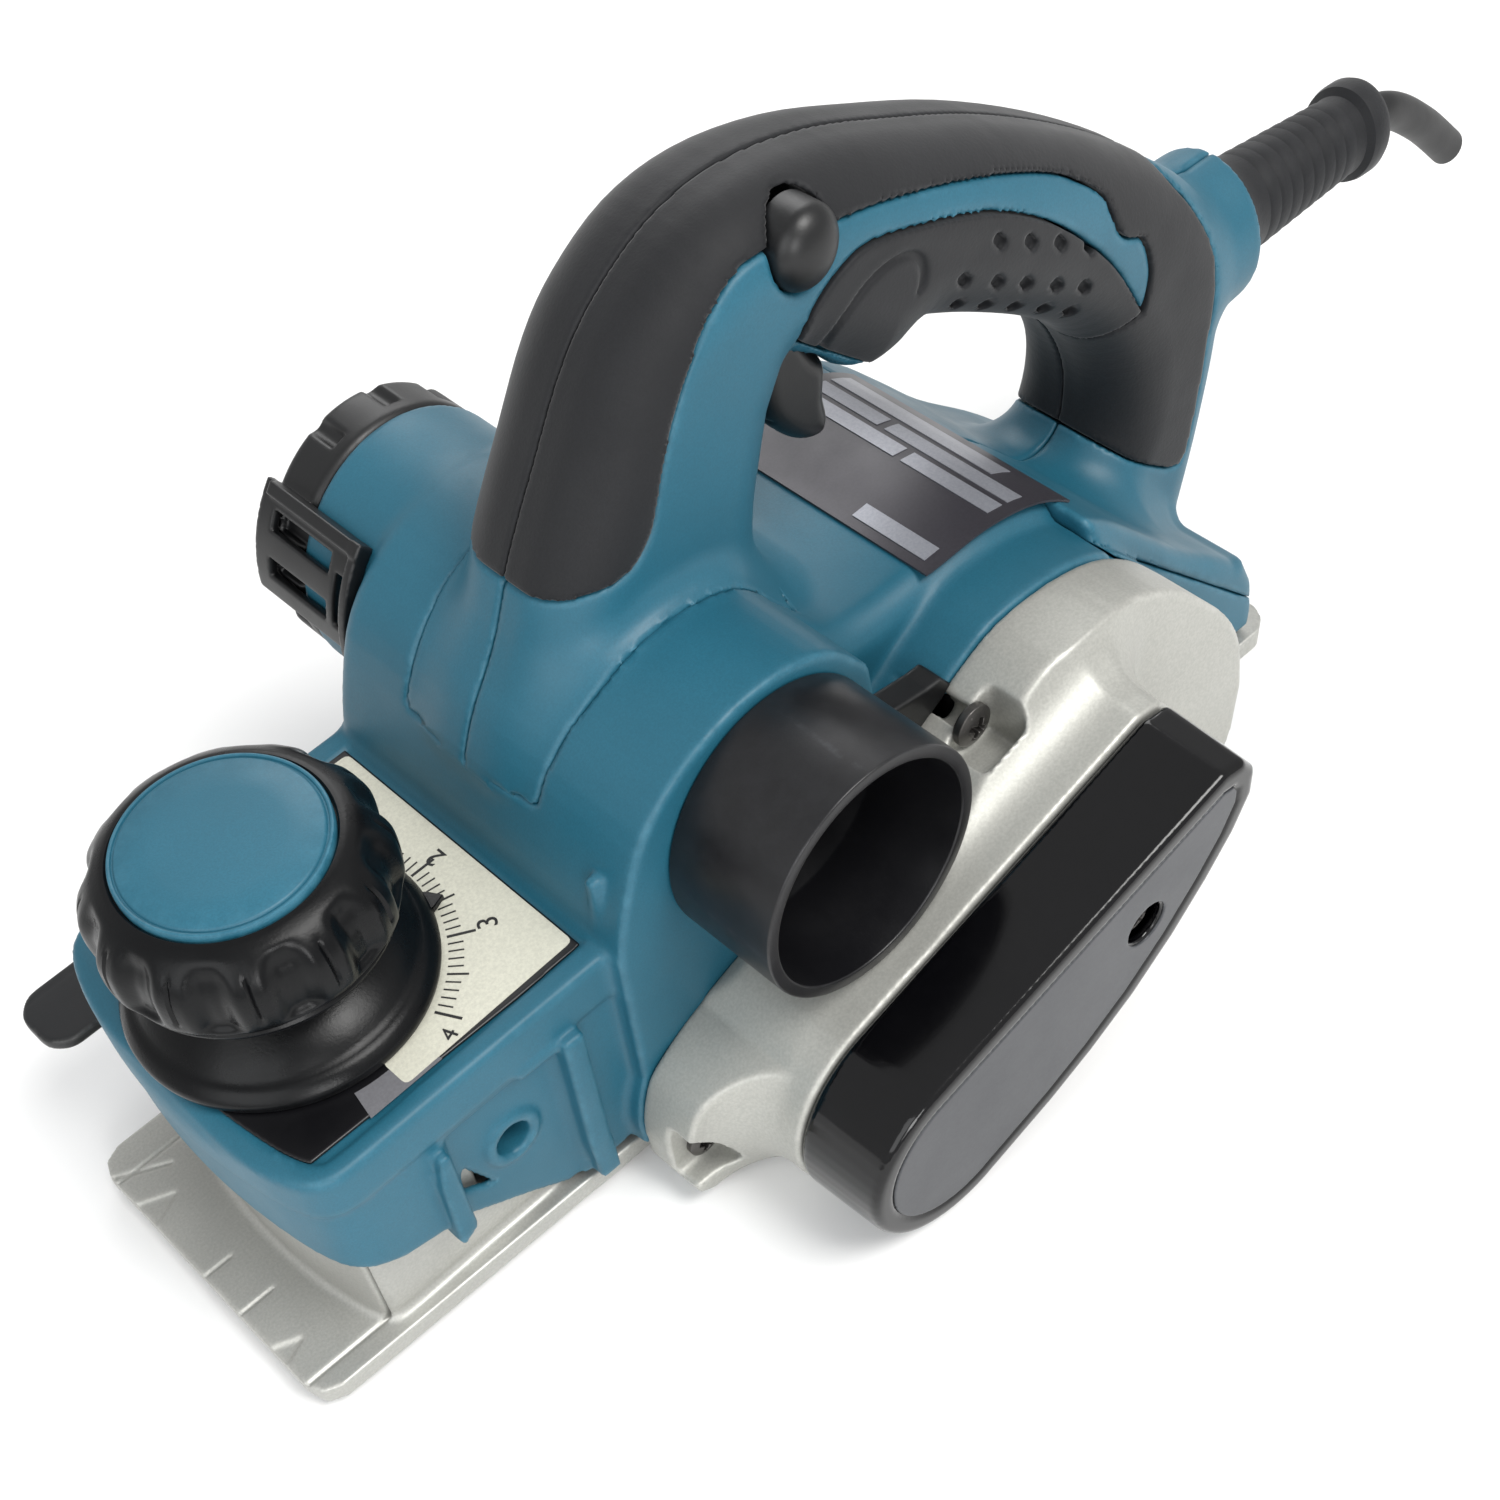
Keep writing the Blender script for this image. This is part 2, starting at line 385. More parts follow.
deckSm = [(24, -41.5), (76, -41.5)] + spline([(84, -41.6), (93, -41.4), (99.2, -38.8), (103, -32.5), (105.8, -22), (107.4, -10), (108, 2), (107.6, 14), (106, 26), (104, 34.5), (101.4, 40), (97, 42.7), (90, 43.0)], 5) + [(76, 42.6), (50, 42.0), (24, 41.5)]
deckSide = [(20, 72), (27, 72), (30, 67.6), (101, 67.4), (106.6, 65.6), (110, 60), (110, 41.5), (101, 36.5), (91, 31), (81, 28.6), (71, 22), (60, 15.5), (51, 9.6), (36, 9.6), (20, 30)]
platePlan = [(33.5, -36), (82, -36.5), (91, -33.5), (98, -26), (101.5, -14), (102.3, 0), (101.5, 14), (98, 26), (91, 33.5), (82, 36.5), (33.5, 36)]
plateSm = rounded([(31.6, -36.4), (76, -37.4)], 1) + spline([(80, -37.5), (90, -37.4), (95.4, -35.4), (98.9, -29), (101.6, -18), (103.2, -6), (103.8, 4), (103.4, 14), (101.6, 27), (99.8, 34.4), (97.6, 38.4), (94.4, 39.6), (86, 39.4)], 5) + [(76, 39.0), (31.6, 37.0)]
coverFace = arc(DRUM[0], DRUM[1], 22, 72, -116, 30) + [(-30, 10.8), (-41, 16.5), (-52, 23.8), (-62, 32.8), (-70, 42), (-76, 50.5), (-79.3, 58), (-79, 63.5), (-76, 67.2), (-71, 68)]
crest = spline([(24, 84), (20, 93), (16.5, 99), (8, 116), (-2, 131), (-11, 143.5), (-20, 151.2), (-33, 157.0), (-48, 157.8), (-66, 153.6), (-85, 145.6), (-105, 136), (-126, 123.5), (-145, 110), (-160, 97), (-168.5, 84), (-169.5, 65), (-167.4, 45), (-164.6, 30), (-161.2, 15)], 4)
inner = spline([(-46, 80), (-42, 90), (-40, 98), (-41, 106), (-43, 113), (-45.5, 121)], 4) + spline([(-49, 126.5), (-56, 121.5), (-62, 116.2), (-66.5, 113.4), (-73, 113.3), (-80, 114.8), (-88, 111.4), (-100, 104.5), (-113, 96), (-124, 87), (-131, 77), (-134.5, 67), (-134, 57), (-129, 48), (-121, 40), (-108, 34)], 4)
handleOut = crest + inner[::-1]
# rubber over the crest and down the rear post, the blue band under it, and the palm insert
rubTop = spline([(3, 114.2), (-5, 115.2), (-10.5, 119), (-13.5, 125), (-16, 131), (-19.5, 137), (-24, 143), (-30, 148.4), (-38, 151.8), (-48, 151), (-58, 148.6), (-71, 145), (-92, 137), (-110.4, 127.9), (-120, 121), (-124.3, 117)], 4)
rubZone = [(60, 112.5), (12, 113.6)] + rubTop + spline([(-125.6, 113.6), (-127, 110), (-129.5, 106.6), (-134, 104.3)], 4) + spline([(-136, 101), (-137.7, 94.8), (-136.7, 87)], 4) + [(-128, 83.5), (-112, 86), (-108, 74), (-116, 70), (-126.7, 63), (-138.8, 51), (-150, 42.5), (-153.8, 41), (-155.7, 43)] + spline([(-156.6, 48), (-157.6, 57), (-158.6, 76), (-157.6, 88), (-152.5, 98.5), (-147.5, 106), (-146, 112), (-149, 120)], 4) + [(-160, 150), (-60, 190), (60, 190)]
palmZone = spline([(-48.6, 132.6), (-51, 137.8), (-57.8, 141.4), (-65.2, 141.7), (-83.7, 135.3), (-96.9, 129), (-111, 118.9), (-125.7, 103.7), (-136.4, 87.6)], 4) + [(-128.3, 83), (-112, 85.5), (-100, 92), (-80, 100), (-71, 108), (-67.6, 115.6), (-63.0, 119.6), (-56, 125.4), (-50.8, 130.2)]
PIV = (-49.0, 127.0); LK = (-50.0, 149.0)
trig = spline([(-47.4, 127.5), (-46, 121), (-47, 114.5), (-50.5, 109), (-55, 104.8), (-59.5, 103.3), (-61.6, 106), (-61, 111), (-61.5, 117), (-58.5, 121.5), (-54, 128.5)], 4, True)
trigCAD = [(-44.5, 128), (-46, 118), (-50, 109), (-55, 103.5), (-60, 103), (-61.5, 107), (-60, 113), (-60.5, 120), (-63, 128), (-57, 131), (-49, 131.5)]
def spin(p, deg):
    t = math.radians(deg); c, s = math.cos(t), math.sin(t)
    return [(PIV[0] + (a - PIV[0]) * c + (b - PIV[1]) * s, PIV[1] - (a - PIV[0]) * s + (b - PIV[1]) * c) for a, b in p]

# ------------------------------------------------------------------ outer fields shared by the housing and the handle
def body_outer(g):
    full = g.prism(bodySm, -42, 60, 4.5)
    cap = g.prism(castSm, 20, 60, 0.8)
    front = g.prism([(31, 9.5)] + topline[:25] + [(-36, 60), (-30, 40), (-10, 9.5)], -42, 60, 4.5)
    dome = g.cylY(CH[0], CH[1], 27.0, -62, 60, 1.2)
    tail = g.prism([(-98.6, 60), (-98.6, 73.9)] + [q for q in topline if -150 < q[0] < -99] + [(-152.5, 28), (-156.6, 20), (-158.2, 12), (-158.2, 6), (-98.6, 6)], -30, 40.4, 3.4)
    f = rmin(mn(rmax(full, g.Y - 31.5, 6.5), tail), cap, 1.6)
    f = rmin(mn(f, front), dome, 2.0)
    return rmax(f, g.Y - 45.7, 0.9)

def handle_outer(g, grow=0.0):
    return g.prism(g.xz(handleOut) - grow, -17.6 - grow, 17.6 + grow, 13.2)

def joined(g):
    B = body_outer(g); H = handle_outer(g)
    r = 7.0 + 5.0 * np.clip((-95 - g.X) / 25.0, 0, 1) - 8.5 * np.clip((-138 - g.X) / 20.0, 0, 1)
    return B, H, rmin(B, H, r)

def sockets(g, B):
    skin = -(B + 3.0)
    foot = ext(g.xy([(27.5, -19), (30, -8), (30, 8), (27.5, 19), (8, 21.5), (-38, 21.5), (-38, -21.5), (8, -21.5)]) + 0 * g.Z, g.Z - 150, 66, 1)
    rear = mx(g.X + 98.5, (42.8 + 0.943 * (g.X + 126.9) - g.Z) * 0.7275) + 0 * g.Y
    return mx(skin, mn(foot, rear))

# ------------------------------------------------------------------ main housing
def build_housing():
    g = Grid((-168, -64, -1), (110, 48.5, 106), 1.0)
    B, H, F = joined(g)
    S = sockets(g, B)
    body = mx(F, -(S - 0.08))
    # the lower front corner of the body stays behind the deck
    dp = g.xy(deckSm)
    side = g.xz(deckSide)
    deck = rmax(ext(dp, g.Z - 30, 37.5, 2.4), side, 1.0)
    band = ext(dp - 0.9, g.Z - 61.2, 6.3, 2.2)          # raised band round the top of the deck
    deck = mn(deck, rmax(band, side, 1.0))
    # panels set into the side walls between the ribs
    for s in (1, -1):
        pan = g.box(47.5, 74.5, 40.4 if s > 0 else -46, 46 if s > 0 else -40.2, 0, 53.5, 1.4)
        deck = rmax(deck, -pan, 1.0)
    f = rmin(deck, body, 2.2)
    # hollow
    bodyIn = [(-38, 5), (-38, 36), (-30, 52), (-36, 76), (-46, 77), (-78, 77), (-92, 73.5), (-104, 65.5), (-116, 53), (-128, 42), (-142, 30.0), (-152, 21), (-155.5, 16), (-157.2, 10), (-157.2, 2)]
    cs = g.xz(castSm)
    f = mx(f, -mx(g.prism(bodyIn, -39, 42.4, 1), mn(g.Y - 28.4, cs + 3.2)))
    f = mx(f, -g.prism([(-122, 8), (-116, 45), (-100, 62), (-88, 70), (-66, 72.5), (-50, 66), (-36, 58), (-30, 20), (-34, 8)], 40, 50, 1))
    f = mn(f, mx(g.cylY(MOTOR[0], MOTOR[1], 27, -60, -30, 2.0), -g.cylY(MOTOR[0], MOTOR[1], 24.4, -57, -28, 0.5)))
    f = mx(f, -g.cylY(MOTOR[0], MOTOR[1], 24.4, -57, -30, 0.5))
    f = mx(f, -mx(g.slab(dp + 3.9, 2, 62.5, 1), 33 - g.X))
    f = mx(f, -g.box(33, 50, -38.2, 38.2, 0, 42, 0.5))
    f = mx(f, -g.box(-50, 33.5, -39.5, 60, -6, 9.6, 0.3))
    # chip duct and outlets
    f = mn(f, mx(g.cylY(CH[0], CH[1], 27, -62, 45.7, 0.8), -g.cylY(CH[0], CH[1], 22.7, -70, 70, 0.3)))
    f = mx(f, -g.cylY(CH[0], CH[1], 22.7, -70, 70, 0.3))
    f = mn(f, mx(g.cylZ(KN[0], 0, 12, 60, 66.5, 0.5), -g.cylZ(KN[0], 0, 6.4, 40, 80, 0.2)))
    f = mx(f, -g.cylZ(KN[0], 0, 6.4, 50, 75, 0.2))
    dist = np.sqrt((g.X - DRUM[0]) ** 2 + (g.Z - DRUM[1]) ** 2) - 29.6
    ch = mx(mx(dist, -42.2 - g.Y), -(g.Z - 12 + 0.35 * (g.X + 4)))
    ch = mx(ch, mn(g.Y - 42.0, cs + 2.5))
    f = mx(f, -ch); f = mx(f, -g.cylY(DRUM[0], DRUM[1], 26.6, -42.2, 42.8, 0.1))
    f = mx(f, -g.box(-16, 10, -37, 41, 44, 66, 0.5))
    f = mx(f, -g.prism([(-40.4, 3), (-38.4, 26.2), (-30.4, 42.4), (-20.2, 50.4), (14.2, 50.4), (24.4, 40.2), (24.4, 8)], -43, -39.6, 0.1))
    f = mx(f, -g.box(-151, -33, -36.5, 36.5, 3, 12.4, 0.2))
    # seat of the scale plate with a lip round it
    pp = g.xy(plateSm)
    f = mx(f, -ext(pp, g.Z - 71, 4.7, 0.3))
    # side screw hole with its sunk ring, triangular window, cooling slots
    f = mn(f, g.cylY(60.4, 37.0, 6.9, 34.5, 41.6, 0.8)); f = rmax(f, -g.cylY(60.4, 37.0, 4.1, 30, 48, 0.3), 0.4)
    f = mx(f, -g.prism([(66.6, 27.2), (73.4, 31.6), (72.8, 39.6)], 36.5, 46, 0.3))
    for z in (38.5, 46, 61, 68.5):
        w = math.sqrt(max(1, 21.5 ** 2 - (z - MOTOR[1]) ** 2))
        f = mx(f, -g.box(MOTOR[0] - w, MOTOR[0] + w, -64, -55, z - 1.5, z + 1.5, 1.2))
    for z in (53.5,):
        for s in (1, -1): f = mx(f, -g.box(MOTOR[0] + s * 19 - 4.5, MOTOR[0] + s * 19 + 4.5, -64, -55, z - 1.5, z + 1.5, 1.2))
    # ribs on the left wall, and a small upright on the front of the duct
    f = mn(f, g.prism([(75, 27), (80, 23.5), (79.6, 44), (78, 52.5), (75.5, 52.5)], 38.5, 45.3, 0.8))
    f = mn(f, g.prism([(40.8, 9.8), (45.6, 9.8), (46.6, 22), (46.6, 56.5), (41.6, 56.5)], 38, 45.6, 0.8))
    f = mn(f, g.prism([(41.5, 53.5), (56, 53.5), (58, 56.6), (41.5, 56.6)], 38, 43.4, 0.8))
    f = mn(f, g.prism([(75, -0 + 30), (79.4, 27), (79.2, 44), (77.5, 52.5), (75.5, 52.5)], -44, -38.5, 0.8))
    f = rmin(f, g.box(26.5, 29.5, 36.5, 39.5, 68, 82, 1.4), 1.2)
    # screw holes for the casting and the stop, slot for the parking foot
    f = mx(f, -g.cylY(-52, 66, 2.6, 36, 50, 0.1)); f = mx(f, -g.cylY(66, 44.7, 2.6, -46, -34, 0.1))
    f = mx(f, -g.box(-167, -126, 21.5, 31.5, 3, 14.5, 0.3))
    # room for the front shoe over its whole lift
    swept = mn(g.slab([(17, -42), (114, -42), (120, -36), (120, 36), (114, 42), (17, 42)], 2, 9.0, 0.4), mx(ext(dp + 5.0, g.Z - 22.75, 18.75, 0.6), 34 - g.X))
    swept = mx(swept, -g.box(51.6, 69.2, 33.4, 46, 24, 60, 0.5))
    f = mx(f, 0.45 - swept)
    o = field_piece("main_housing", g, f, BLUE, relax=0)
    return o

# ------------------------------------------------------------------ handle shells, rubber and palm inserts
def sweep_field(g, extra=0.7):
    s = None
    for d in (-0.5, 3, 6, 8.5):
        m = mn(g.xz(spin(trigCAD, d)), g.xz(spin(trig, d))) - extra
        s = m if s is None else mn(s, m)
    return ext(s, g.Y, 9.7, 0.3)

def collar(g):
    r = np.sqrt(g.Y ** 2 + (g.Z - 77) ** 2)
    taper = 16.6 - 0.06 * np.clip(-160 - g.X, 0, 20)
    return rmax(r - taper, mx(g.X + 150, -175.2 - g.X), 0.9)

def handle_fields(g, side):
    B, H, F = joined(g)
    S = sockets(g, B)
    rub = g.xz(rubZone); pal = g.xz(palmZone)
    half = (0.16 - side * g.Y)
    sw = sweep_field(g)
    switch = g.box(-82.6, -64.9, -9.1, 9.1, 126.9, 139.6, 0.2)
    env = B - 0.0
    above = mn(S, -B)                                   # either the socket skin or anything clear of the body
    shell = rmin(F, collar(g), 3.0)
    shell = mx(shell, -(rub - 0.22)); shell = mx(shell, -(pal - 0.22))
    inside = mx(S, 0.0 * g.X)
    keep = mn(inside, -(B + 0.0) + 0.0)
    # material kept: in the socket zone, or outside the body
    zone = mn(S + 0.1, 0.3 - B)
    shell = mx(shell, zone)
    hollow = g.prism(g.xz(handleOut) + 6.4, -10.6, 10.6, 4)
    shell = mx(shell, -mx(hollow, g.Y * 0 + (83 - g.Z) * (1 if True else 1)))
    shell = mx(mx(shell, -sw), -switch)
    shell = mx(shell, -g.cylX(0, 77, 8.3, -195, -150, 0.1)); shell = mx(shell, -g.cylX(0, 77, 13.6, -195, -171.0, 0.3))
    shell = mx(shell, half)
    grip = mx(H - 0.35, rub + 0.12)
    grip = mx(grip, mx(half, 0.3 - B)); grip = mx(grip, -switch)
    grip = mx(grip, -(collar(g) - 0.25)); grip = mx(grip, -g.cylX(0, 77, 8.3, -195, -150, 0.1))
    grip = mx(grip, -mx(hollow, g.Y * 0))
    grip = mx(grip, -sw)
    palm = mx(H - 0.45, pal + 0.12); palm = mx(mx(palm, half), -sw); palm = mx(palm, -switch)
    palm = mx(palm, -mx(hollow, g.Y * 0)); palm = mx(palm, rub * 0 - 99)
    if side > 0:
        hole = g.cylY(LK[0], LK[1], 7.0, 6, 40, 0.3)
        stem = g.cylY(LK[0], LK[1], 4.0, -2, 40, 0.1)
        hole = mn(hole, stem)
        shell = mx(shell, -hole); grip = rmax(grip, -hole, 0.6); palm = mx(palm, -hole)
    return shell, grip, palm

def build_handle():
    for side, tag in ((1, "left"), (-1, "right")):
        y0, y1 = (-1.0, 47.0) if side > 0 else (-47.0, 1.0)
        g = Grid((-182, y0, 5), (27, y1, 161.5), 0.9)
        # the wide part is only needed near the body; keep the grid but evaluate once
        shell, _, _ = handle_fields(g, side)
        field_piece("handle_shell_" + tag, g, shell, BLUE, frac=0.04)
        y0, y1 = (-1.0, 19.2) if side > 0 else (-19.2, 1.0)
        g = Grid((-172, y0, 30), (20, y1, 161.5), 0.72)
        _, grip, _ = handle_fields(g, side)
        field_piece("handle_grip_" + tag, g, grip, RUBBER, frac=0.08)
        y0, y1 = (-1.0, 19.4) if side > 0 else (-19.4, 1.0)
        g = Grid((-140, y0, 80), (-45, y1, 145), 0.55)
        _, _, palm = handle_fields(g, side)
        base = palm
        dim = [(-94.8, 125.4), (-102.8, 120.8), (-110.7, 116.2), (-118.9, 110.9), (-86.5, 122.6), (-95.4, 117.1), (-103.1, 112.4), (-111.3, 107.3), (-119, 102.6),
               (-88.0, 116.0), (-96.0, 111.0), (-104, 106), (-112, 101), (-119, 96.5)]
        for x, z in dim:
            u = (g.X - x) * 0.80 - (g.Z - z) * 0.60; v = (g.X - x) * 0.60 + (g.Z - z) * 0.80
            sl = mx(np.sqrt(mx(np.abs(v) - 1.2, 0) ** 2 + u ** 2) - 0.95, mx(-1.3 - base, 11.0 - side * g.Y))
            palm = rmax(palm, -sl, 0.3)
        # raised finger rest behind the trigger
        u = (g.X + 65.5) * 0.97 - (g.Z - 129.0) * 0.24; v = (g.X + 65.5) * 0.24 + (g.Z - 129.0) * 0.97
        el = (np.sqrt((u / 10.6) ** 2 + (v / 7.2) ** 2) - 1) * 7.2
        rg = mx(np.abs(el) - 0.55, v * -1 - 4.0) + 0 * g.Y
        palm = rmax(palm, -mx(rg, mx(-0.7 - base, 11.0 - side * g.Y)), 0.3)
        field_piece("palm_insert_" + tag, g, palm, RUBBER)

# ------------------------------------------------------------------ base
def build_base():
    g = Grid((14, -43.4, 1.6), (121.4, 43.4, 47.4), 0.62)
    fz = 2.5
    plan = [(17, -42), (114, -42), (118.2, -40.2), (120, -36), (120, 36), (118.2, 40.2), (114, 42), (17, 42)]
    plate = g.slab(plan, fz, fz + 5, 0.5)
    dp = g.xy(deckSm)
    boss = mx(ext(dp + 5.0, g.Z - 22, 18, 0.6), 34 - g.X)
    f = rmin(plate, boss, 2.0)
    f = mx(f, -mx(ext(dp + 8.6, g.Z - 28, 20.5, 0.6), 38 - g.X))
    f = mx(f, -g.box(51.6, 69.2, 33.4, 46, 26.0, 50, 1.0))
    f = mn(f, g.box(40, 100, -2, 2, 6, 28.4, 0.4)); f = mn(f, g.box(KN[0] - 2, KN[0] + 2, -35, 35, 6, 28.4, 0.4))
    f = mn(f, g.cylZ(KN[0], 0, 9, 6, 45.5, 0.4))
    f = mx(f, -g.cylZ(KN[0], 0, 4.3, 10.5, 50, 0.1))
    f = mx(f, -(np.sqrt((g.X - DRUM[0]) ** 2 + (g.Z - DRUM[1]) ** 2) - 25.6 + 0 * g.Y))
    f = mx(f, -g.prism([(30, 7.5), (30, 43), (50, 43), (50, 10), (44, 7.5)], -44, 44, 0.1))
    # sighting notches cut in the front edge, and scribed lines
    top = fz + 5
    for y, w, d in ((-22, 4.5, 9), (27, 3.4, 7)):
        tri = g.xy([(121, y - w), (121, y + w), (120 - d, y)])
        f = rmax(f, -ext(tri, g.Z - (top + 0.1), 0.75, 0.1), 0.25)
    for (x0, y0, x1, y1) in ((92, -33.5, 120.5, -33.5), (96, 36.5, 120.5, 36.5), (112.5, 0, 120.5, 0), (108, -29, 120.5, -36), (111, 13, 120.5, 13)):
        L = math.hypot(x1 - x0, y1 - y0); ux, uy = (x1 - x0) / L, (y1 - y0) / L
        t = np.clip((g.X - x0) * ux + (g.Y - y0) * uy, 0, L)
        dd = np.sqrt((g.X - x0 - t * ux) ** 2 + (g.Y - y0 - t * uy) ** 2) - 0.42
        f = mx(f, -mx(dd + 0 * g.Z, (top - 0.6) - g.Z))
    f = mx(f, -g.prism([(117.6, 1), (121, 1), (121, 5.6)], -44, 44, 0.1))
    # lengthwise grooves milled in the sole, and the V groove for chamfering
    for y in (-32, -24, -16, -8, 8, 16, 24, 32): f = mx(f, -(np.sqrt((g.Y - y) ** 2 + (g.Z - (fz - 0.25)) ** 2 + 0 * g.X) - 0.7))
    vg = (np.abs(g.Y) - (fz + 2.6 - g.Z)) * 0.7071 + 0 * g.X
    f = mx(f, -mx(vg, -(g.X - 60)))
    field_piece("front_shoe", g, f, SHOE)

    g = Grid((-166, -43.4, -1), (31, 43.4, 56), 0.85)
    f = g.box(-164.5, -8, -42, 42, 0, 5, 0.5)
    cheek = [(-40, 4), (-38, 26), (-30, 42), (-20, 50), (14, 50), (24, 40), (24, 14), (-22, 12), (-24, 4)]
    f = mn(f, g.prism(cheek, -42, -40, 0.3))
    ring = np.abs(np.sqrt((g.X - DRUM[0]) ** 2 + (g.Z - DRUM[1]) ** 2) - 27.6) - 1.45
    ang = np.degrees(np.arctan2(g.Z - DRUM[1], g.X - DRUM[0])) + 0 * g.Y
    w1 = mx(ring, mx(np.where((ang > 107) | (ang < -137), -1.0, 1.0), np.abs(g.Y - 0.5) - 41.5)); f = mn(f, w1)
    w2 = mx(ring, mx(np.where((ang > 8) & (ang < 65), -1.0, 1.0), np.abs(g.Y - 0.25) - 41.2)); f = mn(f, w2)
    for s in (1, -1): f = mn(f, g.box(-150, -34, s * 34 - 2, s * 34 + 2, 3, 12, 0.4))
    f = mx(f, -g.cylY(DRUM[0], DRUM[1], 25.8, -39.9, 50, 0.1))
    bush = mx(np.abs(np.sqrt((g.X - DRUM[0]) ** 2 + (g.Z - DRUM[1]) ** 2) - 12.9) - 1.6, np.abs(g.Y + 36) - 4.5); f = mn(f, bush)
    f = mx(f, -g.box(-170, -128, 22, 31, -3, 14, 0.3)); f = mx(f, -g.box(-170, -128, 30.5, 36.1, 5.0, 14, 0.2))
    for s in (1, -1): f = mx(f, -g.slab([(-170, s * 46), (-170, s * 35.4), (-164.5, s * 36), (-162.7, s * 39.4), (-158.8, s * 42.0), (-158, s * 46)], -2, 7, 0.1))
    for y in (-32, -24, -16, -8, 0, 8, 16): f = mx(f, -(np.sqrt((g.Y - y) ** 2 + (g.Z + 0.35) ** 2 + 0 * g.X) - 0.8))
    field_piece("rear_base", g, f, ALU)

# ------------------------------------------------------------------ belt-side casting and its gloss cover
def build_belt_side():
    g = Grid((-130, 44.6, 1), (37, 79, 79.5), 0.72)
    cs = g.xz(castSm); cb = g.xz(coverFace) - 2.0
    rim = ext(cs, g.Y - 53.2, 7.2, 1.0)                           # y 46..60.4
    step = mx(cs + 1.1, np.abs(g.Y - 53) - 8.2)
    wall = ext(cb, g.Y - 66, 11.7, 0.8)                           # to y 77.7
    k = 13.0
    f = rmin(rim, wall, k)
    f = mx(f, g.Y - 77.7)
    lim = mn(cs, cb)
    f = rmax(f, lim, 0.5)
    whole = f
    # thin walls: hollow behind the rim and inside the pulley space
    f = mx(f, -ext(cs + 4.2, g.Y - 50, 6.0, 1.0)); k2 = g.cylY(CH[0], CH[1], 29.4, 30, 90, 0.1)
    f = mx(f, -ext(cb + 3.2, g.Y - 72, 8.0, 0.5))
    f = mn(f, g.cylY(DRUM[0], DRUM[1], 18, 47, 65, 0.4)); f = mn(f, g.cylY(MOTOR[0], MOTOR[1], 15, 50, 65, 0.4))
    f = mx(f, -g.cylY(DRUM[0], DRUM[1], 14.3, 54, 63, 0.1)); f = mx(f, -g.cylY(DRUM[0], DRUM[1], 10, 40, 90, 0.1))
    f = mx(f, -g.cylY(MOTOR[0], MOTOR[1], 11.3, 54, 62, 0.1)); f = mx(f, -g.cylY(MOTOR[0], MOTOR[1], 6, 40, 90, 0.1))
    f = rmax(f, -g.cylY(CH[0], CH[1], 25.8, 30, 90, 0.1), 0.6)
    # open screw pockets: a seat behind, side walls, and a rounded back
    rearP = [(-57.0, 62.4), (-45.4, 62.4), (-45.4, 92), (-57.0, 92)]; frontP = [(42, 23.6), (33.6, 24.4), (26.6, 19.0), (21.6, 13.2), (21.6, 8.2), (42, 8.2)]
    for P, x, z, y0, y1 in ((rearP, -51.6, 67.6, 53.0, 63.6), (frontP, 26, 13, 54.0, 62.4)):
        d = g.xz(P)
        f = mn(f, mx(ext(d - 2.2, g.Y - 58.5, 11.5, 0.4), whole))
        f = rmax(f, -ext(d, g.Y - (y0 + y1) / 2, (y1 - y0) / 2, 2.2), 0.6)
        f = mx(f, -g.cylY(x, z, 2.6, 40, 60, 0.1))
    f = mx(f, -g.cylY(-53.4, 43.7, 2.3, 60, 90, 0.1))
    field_piece("belt_side_casting", g, f, SILVER)

    g = Grid((-84, 77.4, -1), (21, 99.4, 72), 0.58)
    cf = g.xz(coverFace)
    taper = (g.Y - 78) / 20.5 * 0.9
    f = ext(cf - 2.0 + taper, g.Y - 88.25, 10.25, 1.7)
    f = mx(f, -ext(cf + 0.6, g.Y - 86, 10.0, 1.0))
    f = rmax(f, -ext(cf + 3.6, g.Y - 100, 2.0, 0.2), 0.8)      # shallow seat for the label
    f = rmax(f, -g.cylY(-53.4, 43.7, 4.4, 92, 105, 0.2), 0.5)
    field_piece("belt_cover", g, f, GLOSS)

    g = Grid((-81, 97.2, 2), (16, 98.9, 69), 0.34)
    lf = ext(g.xz(coverFace) + 3.85, g.Y - 98.0, 0.34, 0.12)
    lf = mx(lf, -(np.sqrt((g.X + 53.4) ** 2 + (g.Z - 43.7) ** 2) - 4.9 + 0 * g.Y))
    field_piece("cover_label", g, lf, LABEL)

